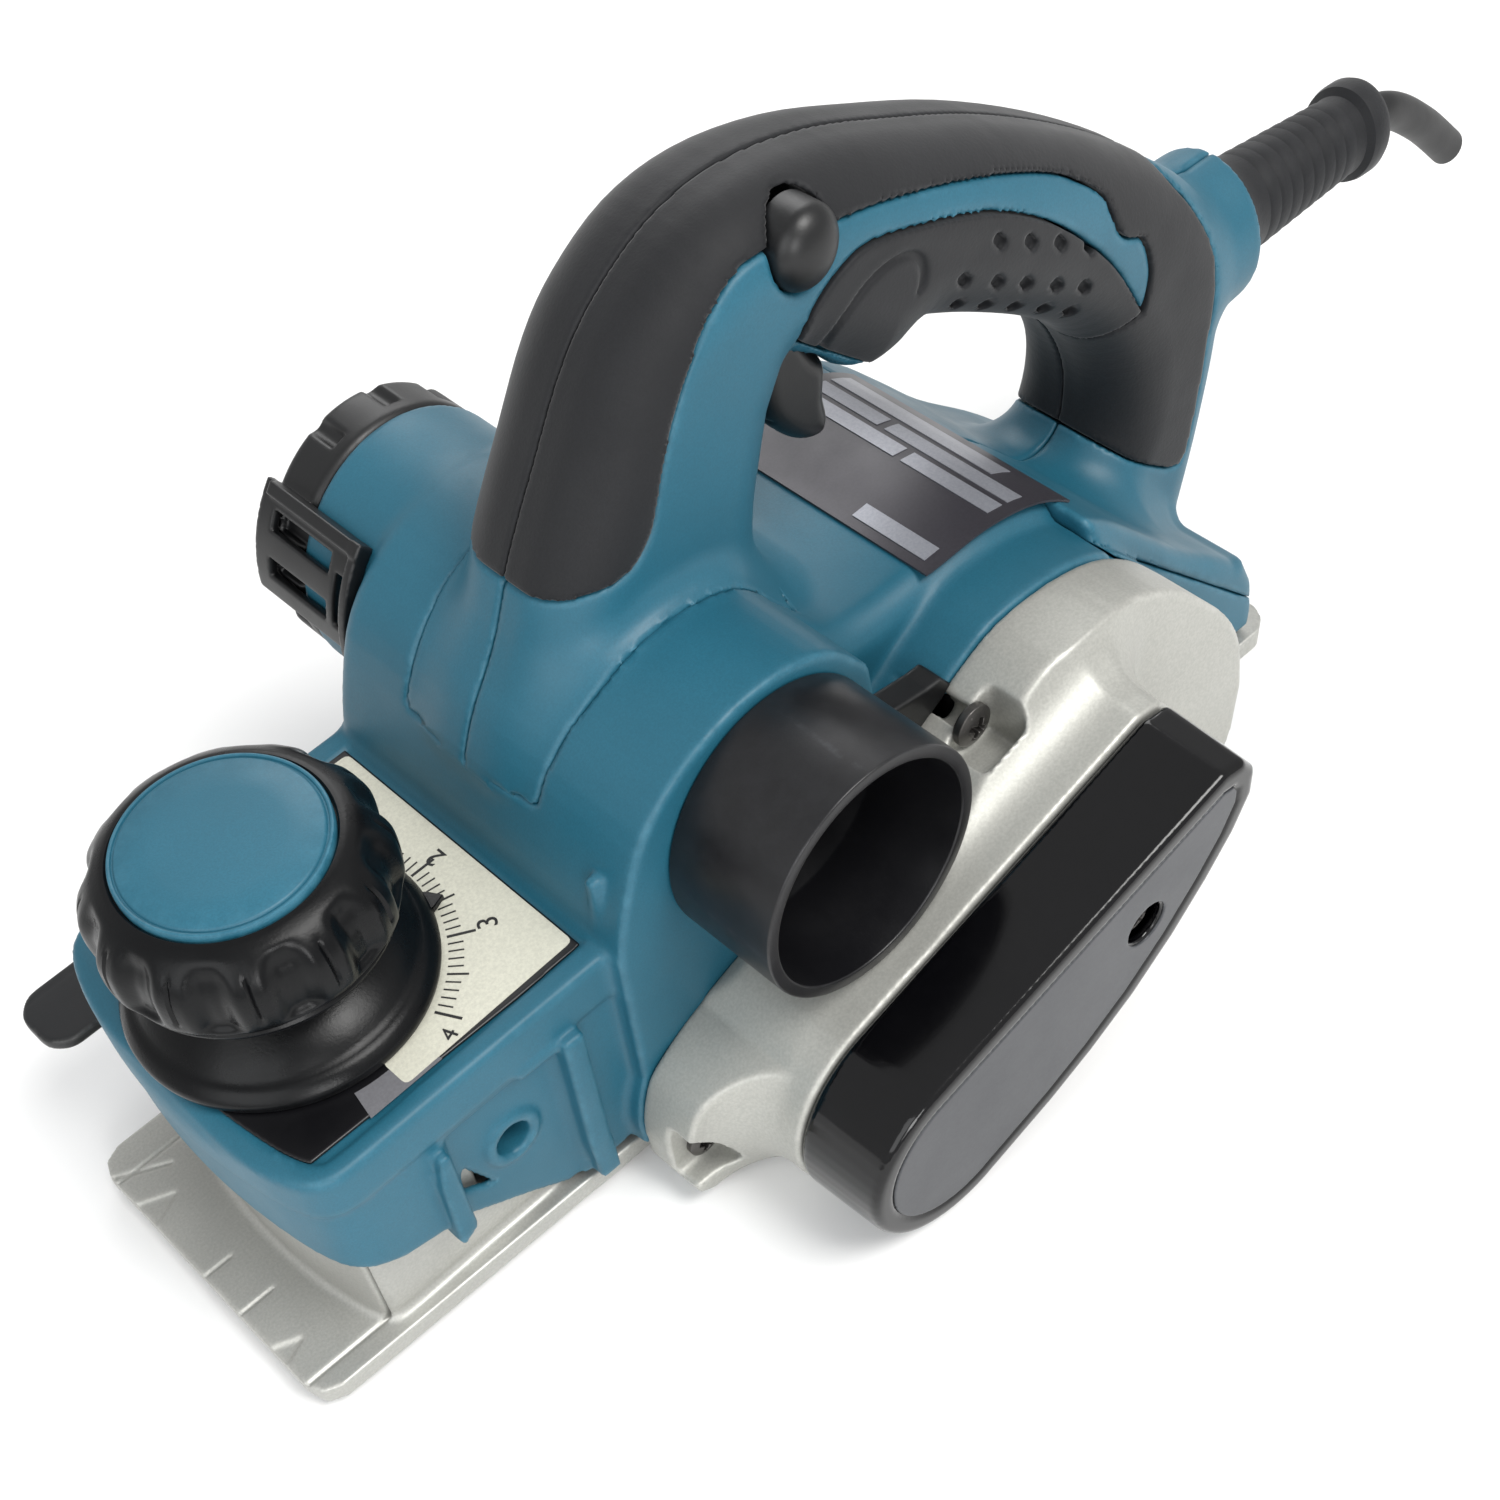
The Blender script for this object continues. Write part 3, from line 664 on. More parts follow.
# ------------------------------------------------------------------ trigger, button, nozzle and outlet cover
def build_small():
    g = Grid((-66, -9.6, 101), (-43, 9.6, 131), 0.45)
    tf = g.xz(trig)
    f = ext(tf, g.Y, 9.0, 3.4)
    f = mx(f, -g.cylY(PIV[0], PIV[1], 1.8, -12, 12, 0.1))
    for z in (108.5, 112.5, 116.5):
        f = rmax(f, -(np.sqrt((g.X + 46.4 + 0.42 * (116 - z)) ** 2 + (g.Z - z) ** 2) - 0.7 + 0 * g.Y), 0.4)
    field_piece("trigger", g, f, BLACK)
    dome = [(0, 4), (3.4, 4), (3.4, 11.5), (6.7, 11.5)] + [(6.8 * math.cos(t) if t else 6.8, 16.6 + 4.6 * math.sin(t)) for t in np.linspace(0, math.pi / 2, 14)[:-1]] + [(0, 21.2)]
    lathe("lock_button", dome, "y", (LK[0], LK[1]), BLACK, "lock_button", 64)
    nz = rounded([(20.4, 26), (22.4, 26), (22.4, 46), (25.2, 46), (25.2, 72), (22.6, 72), (22.4, 50), (20.4, 44)], 0.45, 3, True)
    nz = [(r, y) for r, y in nz]
    lathe("chip_nozzle", nz, "y", CH, NOZZ, "chip_nozzle", 160)

    g = Grid((-57, 39, 60), (-34, 47.4, 78), 0.4)
    field_piece("duct_seal", g, g.prism([(-36, 62), (-39, 75.8), (-44, 75.0), (-47.8, 74.4), (-51.6, 74.2), (-54.4, 70.6), (-47.6, 66.6), (-42, 62)], 40, 46.3, 0.5), BLACK, body="planer_body", slot="black_plastic")

    g = Grid((-40, -77, 44), (24, -37, 110), 0.5)
    r = np.sqrt((g.X - CH[0]) ** 2 + (g.Z - CH[1]) ** 2); ang = np.degrees(np.arctan2(g.Z - CH[1], g.X - CH[0]))
    disc = ext(r - 26.6, g.Y + 68.6, 6.3, 2.2)
    disc = mx(disc, -ext(r - 22.6, g.Y + 66, 5.6, 0.5))
    plug = mx(np.abs(r - 21.05) - 1.2, np.abs(g.Y + 61.5) - 9.5)
    arm = lambda c, h: (np.abs(ang - c) - h) * 0.5
    skirt = mx(mx(np.abs(r - 28.4) - 1.0, arm(25.0, 22.6)), np.abs(g.Y + 59.0) - 16.0)
    skirt = rmin(skirt, mx(mx(np.abs(r - 29.3) - 1.7, arm(45.0, 2.6)), np.abs(g.Y + 57.6) - 14.6), 0.6)
    skirt = rmin(skirt, mx(mx(np.abs(r - 29.2) - 1.5, arm(25.0, 22.6)), np.abs(g.Y + 44.2) - 1.2), 0.6)
    f = mn(rmin(disc, skirt, 1.2), plug)
    for c in (34.2, 15.6): f = rmax(f, -mx(mx(arm(c, 4.0), np.abs(g.Y + 60.6) - 9.4), mx(25.4 - r, r - 33)), 0.4)
    f = rmax(f, -mx(mx(arm(22.2, 10.6), np.abs(g.Y + 47.6) - 1.3), mx(25.4 - r, r - 33)), 0.4)
    for z in (-12, -4, 4, 12):
        w = math.sqrt(19.5 ** 2 - z * z)
        f = rmax(f, -g.box(CH[0] - w, CH[0] + w, -80, -69, CH[1] + z - 1.9, CH[1] + z + 1.9, 1.4), 0.4)
    for a in range(0, 360, 30):
        t = math.radians(a + 15)
        if -5 < ((a + 15 + 180) % 360) - 180 < 50: continue
        x, z = CH[0] + 27.0 * math.cos(t), CH[1] + 27.0 * math.sin(t)
        f = rmax(f, -g.cylY(x, z, 2.0, -80, -66.5, 0.2), 0.5)
    field_piece("outlet_cover", g, f, BLACK)

# ------------------------------------------------------------------ depth knob, its cap and the scale
def build_knob():
    low = [(6.3, 67.8), (31.0, 67.8), (31.2, 69.2), (30.4, 70.4), (29.2, 71.6), (27.8, 72.2), (26.4, 73.6), (24.8, 75.0), (22.6, 76.6), (20.4, 78.2), (19.0, 79.8), (18.3, 81.4), (18.6, 82.9), (20.4, 83.8), (25.4, 84.1), (27.0, 84.6), (27.3, 85.5), (26.7, 86.3), (26.9, 86.9)]
    low = spline(low[1:], 2); low = [(6.3, 67.8)] + low
    grip = spline([(27.6, 87.2), (28.9, 88.2), (29.3, 90.2), (29.3, 93.5), (28.8, 96.4), (27.2, 99.4), (24.8, 101.9), (22.4, 103.3), (21.2, 103.6)], 4) + [(20.8, 103.2), (20.8, 102.2), (6.3, 102.2)]
    pts = low + grip
    N = 288
    def wob(R, S, T):
        up = np.clip((S - 87.6) / 1.6, 0, 1) * np.clip((102.2 - S) / 3.2, 0, 1)
        k = np.abs(((T * 6 / math.pi + 0.5) % 1.0) - 0.5) * 2            # 12 flutes: 1 at the middle of a flute, 0 on a rib
        fl = np.clip((k - 0.30) / 0.55, 0, 1); fl = fl * fl * (3 - 2 * fl)
        R = R - np.where(R > 20, 2.1 * up * fl, 0)
        k2 = np.abs(((T * 6 / math.pi) % 1.0) - 0.5) * 2
        slit = np.clip((k2 - 0.93) / 0.05, 0, 1) * np.clip((S - 90) / 1.2, 0, 1) * np.clip((100.6 - S) / 1.2, 0, 1)
        R = R - np.where(R > 20, 0.55 * slit, 0)
        return R, S
    kb = lathe("depth_knob", pts, "z", KN, KNOBM, "depth_knob", N, wob=wob)
    # pointer on the skirt
    A = math.radians(163.7); c, s = math.cos(A), math.sin(A)
    bm = bmesh.new()
    P = [(29.5, -3.0), (31.6, -2.2), (34.4, 0), (31.6, 2.2), (29.5, 3.0)]
    for z in (68.0, 69.6):
        for r, t in P: bm.verts.new(((OX + KN[0] + r * c - t * s) / 1000, (r * s + t * c) / 1000, (z - (0.5 if (z > 69 and r > 33) else 0)) / 1000))
    bm.verts.ensure_lookup_table(); n = len(P); v = bm.verts
    bm.faces.new([v[i] for i in range(n)][::-1]); bm.faces.new([v[n + i] for i in range(n)])
    for i in range(n): bm.faces.new((v[i], v[(i + 1) % n], v[n + (i + 1) % n], v[n + i]))
    bmesh.ops.recalc_face_normals(bm, faces=bm.faces); bmesh.ops.bevel(bm, geom=list(bm.edges), offset=0.00025, segments=2, affect="EDGES")
    me = bpy.data.meshes.new("knob_pointer"); bm.to_mesh(me); bm.free()
    o = bpy.data.objects.new("knob_pointer", me); bpy.context.scene.collection.objects.link(o); dress(o, KNOBM, BODIES["depth_knob"], SLOTS["depth_knob"])
    cap = [(0, 102.4), (20.5, 102.4), (20.5, 104.1), (20.3, 104.5), (20.0, 104.6), (19.7, 104.5), (19.55, 104.2), (19.25, 104.2), (19.1, 104.55), (18.7, 104.8), (12, 105.0), (6, 105.1), (0, 105.1)]
    lathe("knob_cap", cap, "z", KN, BLUE, "knob_cap", 128)

def flat_outline(name, pts, z0, z1, mat, slot, hole=None, node=None, body="planer_body", bevel=0.00012):
    """thin printed or plate layer from an (x, y) outline"""
    bm = bmesh.new()
    bot = [bm.verts.new(((OX + a) / 1000, b / 1000, z0 / 1000)) for a, b in pts]
    top = [bm.verts.new(((OX + a) / 1000, b / 1000, z1 / 1000)) for a, b in pts]
    n = len(pts)
    for i in range(n): bm.faces.new((bot[i], bot[(i + 1) % n], top[(i + 1) % n], top[i]))
    bm.faces.new(top); bm.faces.new(bot[::-1])
    bmesh.ops.triangulate(bm, faces=[f for f in bm.faces if len(f.verts) > 4])
    bmesh.ops.recalc_face_normals(bm, faces=bm.faces)
    me = bpy.data.meshes.new(name); bm.to_mesh(me); bm.free()
    o = bpy.data.objects.new(name, me); bpy.context.scene.collection.objects.link(o)
    return dress(o, mat, body, slot, *([node] if node else []))

def inset(pts, d):
    p = np.array(pts, float); n = len(p); a = np.roll(p, 1, 0); b = np.roll(p, -1, 0)
    area = (p[:, 0] * b[:, 1] - b[:, 0] * p[:, 1]).sum(); s = 1 if area > 0 else -1
    u = p - a; v = b - p
    u /= np.linalg.norm(u, axis=1)[:, None] + 1e-9; v /= np.linalg.norm(v, axis=1)[:, None] + 1e-9
    n1 = np.stack([s * u[:, 1], -s * u[:, 0]], 1); n2 = np.stack([s * v[:, 1], -s * v[:, 0]], 1); m = n1 + n2
    k = mx(0.5, (m ** 2).sum(1) / 2)
    q = p - d * m / k[:, None]
    return [tuple(x) for x in q]

def build_scale():
    g = Grid((32.8, -37.4, 65.6), (103.4, 37.4, 67.8), 0.36)
    pp = g.xy(plateSm)
    f = ext(pp + 0.35, g.Z - 66.8, 0.36, 0.12)
    f = mx(f, -(np.sqrt((g.X - KN[0]) ** 2 + g.Y ** 2) - 6.7 + 0 * g.Z))
    field_piece("scale_plate", g, f, PLATEBLK)
    # cream field: behind the line that runs outward from the knob, inside a thin black border
    kx = KN[0]
    cream = rounded([(33.4, -34.6), (60, -35.2), (67.6, -35.3)] + arc(kx, 0, 30.2, -107, -268, 34)[::1] + [(75.4, 37.2), (33.4, 35.2)], 1.4, 3, True)
    flat_outline("scale_field", cream, 67.14, 67.26, CREAM, "scale_plate")
    band = arc(kx, 0, 32.2, 104, 78, 14) + [(kx + 7.9, 38.1), (67.2, 37.6)]
    flat_outline("scale_band", band, 67.14, 67.25, BAND, "scale_plate")
    def tick(name, ang, r0, r1, w):
        a = math.radians(ang); c, s = math.cos(a), math.sin(a)
        q = [(r0, -w / 2), (r1, -w / 2), (r1, w / 2), (r0, w / 2)]
        return [(kx + r * c - t * s, r * s + t * c) for r, t in q]
    bm = bmesh.new()
    def slabq(q, z0=67.2, z1=67.36):
        lo = [bm.verts.new(((OX + x) / 1000, y / 1000, z0 / 1000)) for x, y in q]; hi = [bm.verts.new(((OX + x) / 1000, y / 1000, z1 / 1000)) for x, y in q]
        bm.faces.new(hi); bm.faces.new(lo[::-1])
        for i in range(4): bm.faces.new((lo[i], lo[(i + 1) % 4], hi[(i + 1) % 4], hi[i]))
    for i in range(0, 41):
        v = i / 10.0; ang = 180 - (v - 2) * 31.2
        if ang > 250: continue
        major, half_ = i % 10 == 0, i % 5 == 0
        slabq(tick("t", ang, 32.2, 37.8 if major else (36.4 if half_ else 35.2), 0.55 if major else (0.42 if half_ else 0.3)))
    bmesh.ops.recalc_face_normals(bm, faces=bm.faces)
    me = bpy.data.meshes.new("scale_ticks"); bm.to_mesh(me); bm.free()
    o = bpy.data.objects.new("scale_ticks", me); bpy.context.scene.collection.objects.link(o); dress(o, INK, "planer_body", "scale_plate")
    for k in range(0, 5):
        ang = 180 - (k - 2) * 31.2
        if ang > 232: continue
        cu = bpy.data.curves.new(f"num{k}", "FONT"); cu.body = str(k); cu.size = 0.0048 if k == 4 else 0.0058; cu.extrude = 0.00008; cu.align_x = "CENTER"; cu.align_y = "CENTER"; cu.resolution_u = 5
        t = bpy.data.objects.new(f"num{k}", cu); bpy.context.scene.collection.objects.link(t)
        r = {2: 38.4, 3: 40.4, 4: 37.2}.get(k, 38.4); ang += {3: 1.6, 4: -6.1}.get(k, 0); a = math.radians(ang)
        t.location = ((OX + kx + r * math.cos(a)) / 1000, r * math.sin(a) / 1000, 67.3 / 1000); t.rotation_euler = (0, 0, a - math.pi / 2 + math.pi)
        bpy.context.view_layer.update()
        dg = bpy.context.evaluated_depsgraph_get(); me = bpy.data.meshes.new_from_object(t.evaluated_get(dg)); mw = t.matrix_world.copy()
        bpy.data.objects.remove(t); me.transform(mw)
        o = bpy.data.objects.new(f"scale_numeral_{k}", me); bpy.context.scene.collection.objects.link(o); dress(o, INK, "planer_body", "scale_plate")

# ------------------------------------------------------------------ plates, screws, cord, stop and foot
def strip_plate(name, line, y0, y1, t, mat, slot, node=None):
    """thin plate that follows an (x, z) line over the housing"""
    p = np.array(line, float); d = np.gradient(p, axis=0); nrm = np.stack([-d[:, 1], d[:, 0]], 1); nrm /= np.linalg.norm(nrm, axis=1)[:, None]
    if nrm[:, 1].mean() < 0: nrm = -nrm
    ys = np.linspace(y0, y1, 9); vs, fs = [], []; m, n = len(p), len(ys)
    for lay in (0, 1):
        for i in range(m):
            for y in ys: vs.append(to_row([p[i, 0] + nrm[i, 0] * t * lay, y, p[i, 1] + nrm[i, 1] * t * lay]))
    I = lambda l, i, j: l * m * n + i * n + j
    for i in range(m - 1):
        for j in range(n - 1):
            fs.append((I(1, i, j), I(1, i, j + 1), I(1, i + 1, j + 1), I(1, i + 1, j))); fs.append((I(0, i, j), I(0, i + 1, j), I(0, i + 1, j + 1), I(0, i, j + 1)))
    for i in range(m - 1):
        fs.append((I(0, i, 0), I(1, i, 0), I(1, i + 1, 0), I(0, i + 1, 0))); fs.append((I(0, i, n - 1), I(0, i + 1, n - 1), I(1, i + 1, n - 1), I(1, i, n - 1)))
    for j in range(n - 1):
        fs.append((I(0, 0, j), I(0, 0, j + 1), I(1, 0, j + 1), I(1, 0, j))); fs.append((I(0, m - 1, j), I(1, m - 1, j), I(1, m - 1, j + 1), I(0, m - 1, j + 1)))
    me = bpy.data.meshes.new(name); me.from_pydata(vs, [], fs); me.validate()
    bm = bmesh.new(); bm.from_mesh(me); bmesh.ops.recalc_face_normals(bm, faces=bm.faces)
    for f in bm.faces: f.smooth = True
    for e in bm.edges:
        if len(e.link_faces) == 2 and e.calc_face_angle(0) > 0.6: e.smooth = False
    bm.to_mesh(me); bm.free()
    o = bpy.data.objects.new(name, me); bpy.context.scene.collection.objects.link(o)
    return dress(o, mat, "planer_body", slot, *([node] if node else []))

def screw_head(name, x, z, y, rad, mat, node, depth=3.2, cross=True):
    g = Grid((x - rad - 0.6, y - depth - 0.4, z - rad - 0.6), (x + rad + 0.6, y + 0.6, z + rad + 0.6), 0.16)
    r = np.sqrt((g.X - x) ** 2 + (g.Z - z) ** 2)
    f = ext(r - rad + 0 * g.Y, g.Y - (y - depth / 2), depth / 2, 0.7)
    f = mx(f, np.sqrt(r ** 2 + (g.Y - (y - rad * 1.9)) ** 2) - rad * 1.9)
    if cross:
        a = 0.5; c, s = math.cos(a), math.sin(a)
        u = (g.X - x) * c + (g.Z - z) * s; v = -(g.X - x) * s + (g.Z - z) * c
        dep = (g.Y - (y - 1.9)); w = 0.5 + dep * 0.10; l = rad * 0.42 + dep * 0.36
        bar = mn(mx(np.abs(u) - w, np.abs(v) - l), mx(np.abs(v) - w, np.abs(u) - l))
        f = mx(f, -mx(bar, -dep))
    f2 = f
    return field_piece(name, g, f2, mat, node=node)

def build_details():
    line = [p for p in topline if -103.2 < p[0] < -63.5]
    line = [(-63.5, 80.72)] + line
    line = sorted(line, key=lambda p: -p[0]); off = [(a, b + 0.12) for a, b in line]
    strip_plate("rating_plate", off, -30, 30.5, 0.42, RATING, "rating_plate", "rating_plate")
    def span(a, b, y0, y1, name, mat):
        xs = np.linspace(a, b, 9); px = np.array([p[0] for p in off][::-1]); pz = np.array([p[1] for p in off][::-1])
        ln = [(x, float(np.interp(x, px, pz)) + 0.46) for x in xs]
        strip_plate(name, ln, y0, y1, 0.14, mat, "rating_plate")
    span(-83, -87, -27, 2, "rating_blank_1a", RATLITE); span(-83, -87, 4, 27.5, "rating_blank_1b", RATLITE)
    span(-88.5, -92.5, -27, -8, "rating_blank_2a", RATLITE); span(-88.5, -92.5, -6, 27.5, "rating_blank_2b", RATLITE)
    span(-94, -99.5, -27, 18, "rating_blank_3", RATLITE); span(-66, -70, 8, 27.5, "rating_blank_4", RATLITE)
    # screws
    screw_head("casting_screw_rear", -51.6, 67.6, 56.0, 4.3, SCREW, "casting_screw_rear")
    screw_head("casting_screw_front", 26, 13, 56.6, 3.9, SCREW, "casting_screw_front")
    screw_head("cover_screw", -53.4, 43.7, 96.4, 3.9, SCREW, "cover_screw", cross=True)
    # four screws that hold the handle halves together, on the right shell
    # cord guard: stepped rubber sleeve with flex grooves, and the cable
    th = -0.08
    prof = [(4.8, 0.9), (13.0, 0.9), (13.1, 2.6), (12.4, 4.0), (11.0, 6.0), (10.3, 9.0)]
    for k in range(9):
        s0 = 10.5 + k * 3.7; r0 = 10.1 - (s0 - 10) * 0.062
        prof += [(r0, s0), (r0, s0 + 2.5), (r0 - 0.5, s0 + 2.9), (r0 - 0.5, s0 + 3.3)]
    prof += [(7.9, 45.0), (8.0, 46.2), (9.4, 47.2), (9.7, 48.4), (9.7, 51.0), (9.2, 52.2), (8.0, 52.9), (5.2, 53.2), (4.8, 52.4)]
    prof = [(r, -s) for r, s in prof]
    guard = lathe("cord_guard", prof, "x", (0, 0), RUBBER, "cord_guard", 72, rep=False)
    M = Matrix.Translation(Vector(((OX - 171.5) / 1000, 0, 0.077))) @ Matrix.Rotation(th, 4, "Y") @ Matrix.Translation(Vector((-OX / 1000, 0, 0)))
    guard.data.transform(M); guard.data.update(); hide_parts("cord_guard")
    pts = [(-150, 0, 78.7), (-172, 0, 76.9), (-200, 0, 74.7), (-226, 0, 72.6), (-236, 0, 69.6), (-249, 0, 60), (-262, 0, 48)]
    P = np.array(spline(pts, 8)); T = np.gradient(P, axis=0); T /= np.linalg.norm(T, axis=1)[:, None]; n = 28
    U = np.tile([0, 1.0, 0], (len(P), 1)); V = np.cross(T, U); R = 3.6
    rings = P[:, None, :] + R * (np.cos(np.arange(n) * 2 * math.pi / n)[None, :, None] * U[:, None, :] + np.sin(np.arange(n) * 2 * math.pi / n)[None, :, None] * V[:, None, :])
    co = to_row(rings.reshape(-1, 3)); m = len(P)
    q = [[i * n + j, i * n + (j + 1) % n, (i + 1) * n + (j + 1) % n, (i + 1) * n + j] for i in range(m - 1) for j in range(n)]
    bm = bmesh.new(); vs = [bm.verts.new(c) for c in co]
    for f in q: bm.faces.new([vs[k] for k in f]).smooth = True
    # the cut end shows a slightly sunk core
    for ring, sgn in ((vs[:n], 1), (vs[-n:], -1)): bm.faces.new(ring)
    bmesh.ops.recalc_face_normals(bm, faces=bm.faces)
    for e in bm.edges:
        if len(e.link_faces) == 2 and e.calc_face_angle(0) > 0.7: e.smooth = False
    me = bpy.data.meshes.new("power_cord"); bm.to_mesh(me); bm.free()
    o = bpy.data.objects.new("power_cord", me); bpy.context.scene.collection.objects.link(o); dress(o, CORD, "planer_body", "cord_jacket", "power_cord")
    # rebate depth stop and its wing screw
    g = Grid((43, -63.4, 35), (115, -42.4, 68), 0.5)
    f = g.slab(rounded([(44, -62.5), (110, -62.5), (114, -58.5), (114, -49), (110, -45), (44, -45)], 3, 4, True), 36, 38.8, 0.7)
    f = rmin(f, g.box(58, 74, -46.2, -43.2, 36, 67, 0.9), 1.2)
    f = mx(f, -g.box(63.5, 68.5, -50, -40, 42, 64.5, 2.2))
    f = mx(f, -(np.abs(g.Z - 39.0) - 0.3 + 0 * g.X + mx(0, np.abs(g.Y + 60.2) - 0.4) * 3))
    field_piece("depth_stop", g, f, STOPM)
    g = Grid((60, -56.8, 38.6), (72, -36.4, 50.8), 0.3)
    r = np.sqrt((g.X - 66) ** 2 + (g.Z - 44.7) ** 2); a = np.arctan2(g.Z - 44.7, g.X - 66)
    f = ext(r - 5.2 + 0.35 * np.cos(a * 14) + 0 * g.Y, g.Y + 51.5, 4.4, 0.8)
    f = mn(f, ext(r - 4.2 + 0 * g.Y, g.Y + 48.2, 1.8, 0.3)); f = mn(f, ext(r - 2.1 + 0 * g.Y, g.Y + 44, 7.0, 0.3))
    f = rmax(f, -mx(np.abs(g.Z - 44.7) - 0.7 + 0 * g.X, g.Y + 55.0), 0.2)
    field_piece("stop_screw", g, f, BLACK)
    g = Grid((-164.4, 22, -0.2), (-130, 31, 14), 0.4)
    f = g.prism([(-133, 5.6), (-131.6, 9), (-134, 12.4), (-139, 12.8), (-160, 8.5), (-163.5, 6), (-163.5, 1.8), (-161, 0.6), (-138, 0.6)], 22.6, 30.4, 1.1)
    f = mx(f, -g.cylY(-136, 8.6, 1.6, 20, 33, 0.1))
    for x in (-150, -153.5, -157): f = rmax(f, -(np.sqrt((g.X - x) ** 2 + (g.Z - 0.3) ** 2) - 0.6 + 0 * g.Y), 0.2)
    field_piece("parking_foot", g, f, BLACK)

    # carried CAD nodes: finish, smooth shading by angle and small edge bevels
    by_slot = {"steel": STEEL, "blade_steel": BLADE, "laminations": LAMIN, "copper": COPPER, "brass_holder": BRASS, "carbon": CARBON, "belt_rubber": BELT, "black_plastic": BLACK,
               "blue_plastic": BLUE, "soft_rubber": RUBBER, "cord_jacket": CORD, "cast_aluminium": ALU, "machined_shoe": SHOE, "side_casting_paint": SILVER, "gloss_cover": GLOSS,
               "cover_label": LABEL, "knob_plastic": KNOBM, "scale_plate": PLATEBLK, "rating_plate": RATING, "stop_paint": STOPM}
    for name, o in frame["nodes"].items():
        if o.hide_render: continue
        o.data.materials.clear(); o.data.materials.append(by_slot[SLOTS[name]])
        bm = bmesh.new(); bm.from_mesh(o.data)
        flags = {}
        o.data.polygons.foreach_set("use_smooth", np.full(len(o.data.polygons), True))
        sharp = [e.index for e in bm.edges if len(e.link_faces) == 2 and e.calc_face_angle(0) > 0.55]
        bm.free()
        for i in sharp: o.data.edges[i].use_edge_sharp = True
        w = o.modifiers.new("weld", "WELD"); w.merge_threshold = 1e-6
        bv = o.modifiers.new("bevel", "BEVEL"); bv.width = 0.00025; bv.segments = 2; bv.limit_method = "ANGLE"; bv.angle_limit = 0.6; bv.harden_normals = False

build_housing(); build_handle(); build_base(); build_belt_side(); build_small(); build_knob(); build_scale(); build_details()

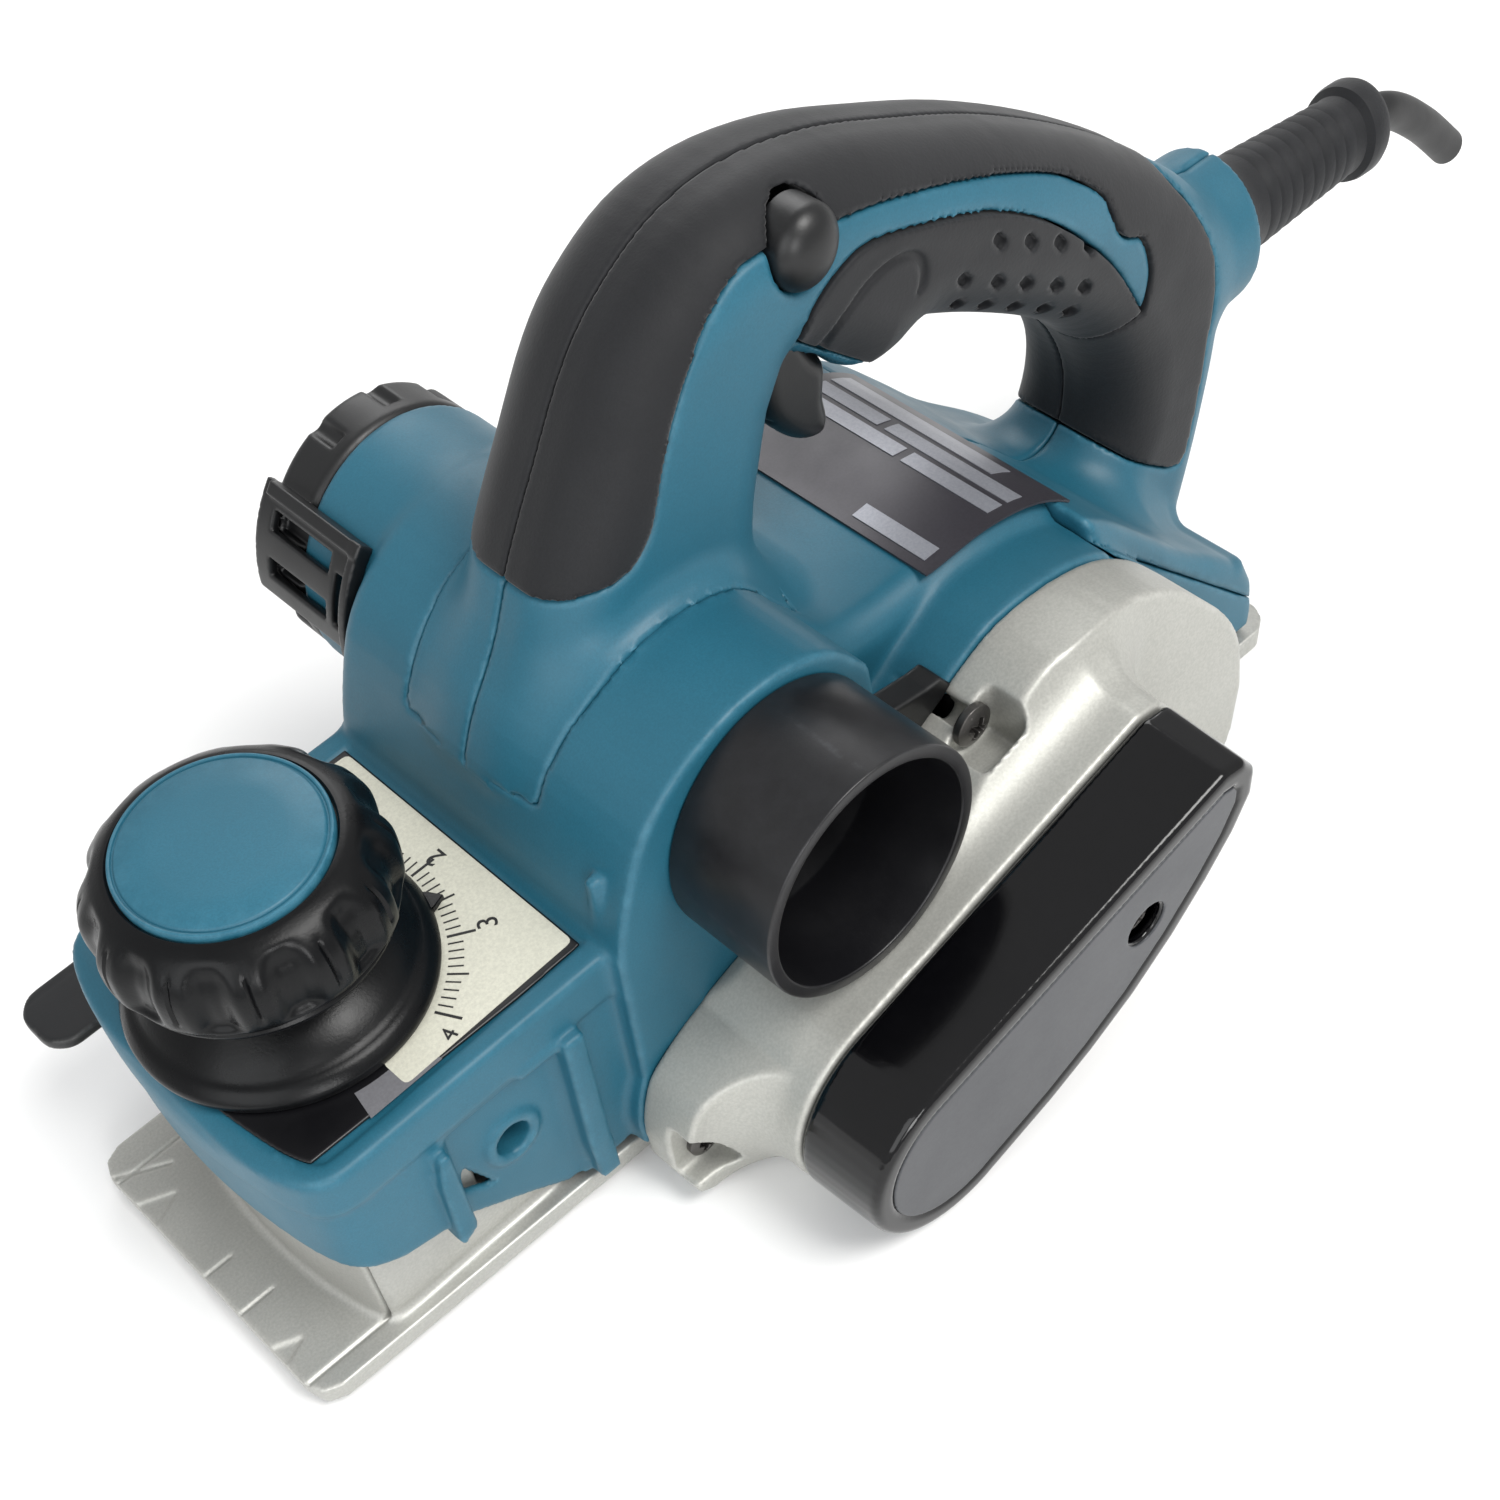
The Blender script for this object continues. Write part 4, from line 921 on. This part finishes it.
# ------------------------------------------------------------------ stage, light and camera
def stage():
    me = bpy.data.meshes.new("floor"); s, n = 6.0, 2
    bm = bmesh.new(); bmesh.ops.create_grid(bm, x_segments=24, y_segments=24, size=s); bm.to_mesh(me); bm.free()
    o = bpy.data.objects.new("floor", me); bpy.context.scene.collection.objects.link(o); o.location = (0, 0, 0)
    m = bpy.data.materials.new("floor"); m.use_nodes = True; nt = m.node_tree; b = nt.nodes["Principled BSDF"]
    nz = nt.nodes.new("ShaderNodeTexNoise"); nz.inputs["Scale"].default_value = 9; cr = nt.nodes.new("ShaderNodeValToRGB")
    cr.color_ramp.elements[0].color = (0.86, 0.86, 0.86, 1); cr.color_ramp.elements[1].color = (0.90, 0.90, 0.90, 1)
    nt.links.new(nz.outputs["Fac"], cr.inputs[0]); nt.links.new(cr.outputs[0], b.inputs["Base Color"]); b.inputs["Roughness"].default_value = 0.75
    b.inputs["Specular IOR Level"].default_value = 0.2
    me.materials.append(m)
    w = bpy.data.worlds.new("studio"); bpy.context.scene.world = w; w.use_nodes = True
    nt = w.node_tree; bg = nt.nodes["Background"]; bg.inputs[0].default_value = (1.0, 1.0, 1.0, 1); bg.inputs[1].default_value = 0.60
    seen = nt.nodes.new("ShaderNodeBackground"); seen.inputs[0].default_value = (0.90, 0.90, 0.90, 1); seen.inputs[1].default_value = 1.0
    lp = nt.nodes.new("ShaderNodeLightPath"); mixer = nt.nodes.new("ShaderNodeMixShader")
    nt.links.new(lp.outputs["Is Camera Ray"], mixer.inputs[0]); nt.links.new(bg.outputs[0], mixer.inputs[1]); nt.links.new(seen.outputs[0], mixer.inputs[2])
    nt.links.new(mixer.outputs[0], nt.nodes["World Output"].inputs["Surface"])
    L = bpy.data.lights.new("sun", "SUN"); L.energy = 1.25; L.angle = 0.5; L.color = (1.0, 0.99, 0.97)
    so = bpy.data.objects.new("sun", L); bpy.context.scene.collection.objects.link(so); so.location = (-0.2, 0.6, 1.2)
    so.rotation_mode = "QUATERNION"; so.rotation_quaternion = Vector((-0.25, 0.62, 1.15)).to_track_quat("Z", "Y")
    def area(name, loc, size, power, target=(0.07, 0, 0.06), col=(1, 1, 1)):
        L = bpy.data.lights.new(name, "AREA"); L.energy = power; L.size = size; L.color = col
        o = bpy.data.objects.new(name, L); bpy.context.scene.collection.objects.link(o); o.location = loc
        o.rotation_mode = "QUATERNION"; o.rotation_quaternion = (Vector(target) - Vector(loc)).to_track_quat("-Z", "Y")
    area("key", (-0.25, 0.75, 1.15), 0.55, 6, col=(1.0, 0.99, 0.97))
    area("fill", (1.15, 0.35, 0.75), 0.9, 5.0, col=(0.97, 0.99, 1.0))
    area("back", (-0.7, -0.9, 0.9), 0.8, 6)
    area("front", (0.55, 0.95, 0.5), 0.35, 3.2)
    cam = bpy.data.cameras.new("camera"); co = bpy.data.objects.new("camera", cam); bpy.context.scene.collection.objects.link(co)
    Rw = [[-0.7446673016304937, 0.6498223144504417, -0.15232061424715398], [0.6387289577826422, 0.6276209715195367, -0.4451036223159415], [-0.19363865412736908, -0.42874570056286715, -0.8824291449609973]]
    cam.sensor_width = 36.0; cam.sensor_fit = "HORIZONTAL"; cam.lens = 1999.345253 / 1500 * 36.0
    cam.shift_x = 159.332755 / 1500; cam.shift_y = 630.577444 / 1500
    R = Matrix((Rw[0], [-v for v in Rw[1]], [-v for v in Rw[2]])).transposed()
    M = R.to_4x4(); M.translation = Vector(((154.722148 + OX) / 1000, 0.247386, 0.357309)); co.matrix_world = M
    cam.clip_start, cam.clip_end = 0.01, 50
    bpy.context.scene.camera = co
    # the lens shift belongs to the photograph's viewpoint only
    for path, value in (("shift_x", cam.shift_x), ("shift_y", cam.shift_y)):
        d = cam.driver_add(path).driver; d.type = "SCRIPTED"; v = d.variables.new(); v.name = "x"; v.targets[0].id = co; v.targets[0].data_path = "location.x"
        d.expression = "%.6f if abs(x - %.6f) < 0.002 else 0.0" % (value, M.translation.x)
    vs = bpy.context.scene.view_settings
    vs.view_transform = "Standard"; vs.look = "None"; vs.exposure = 0.0
stage()
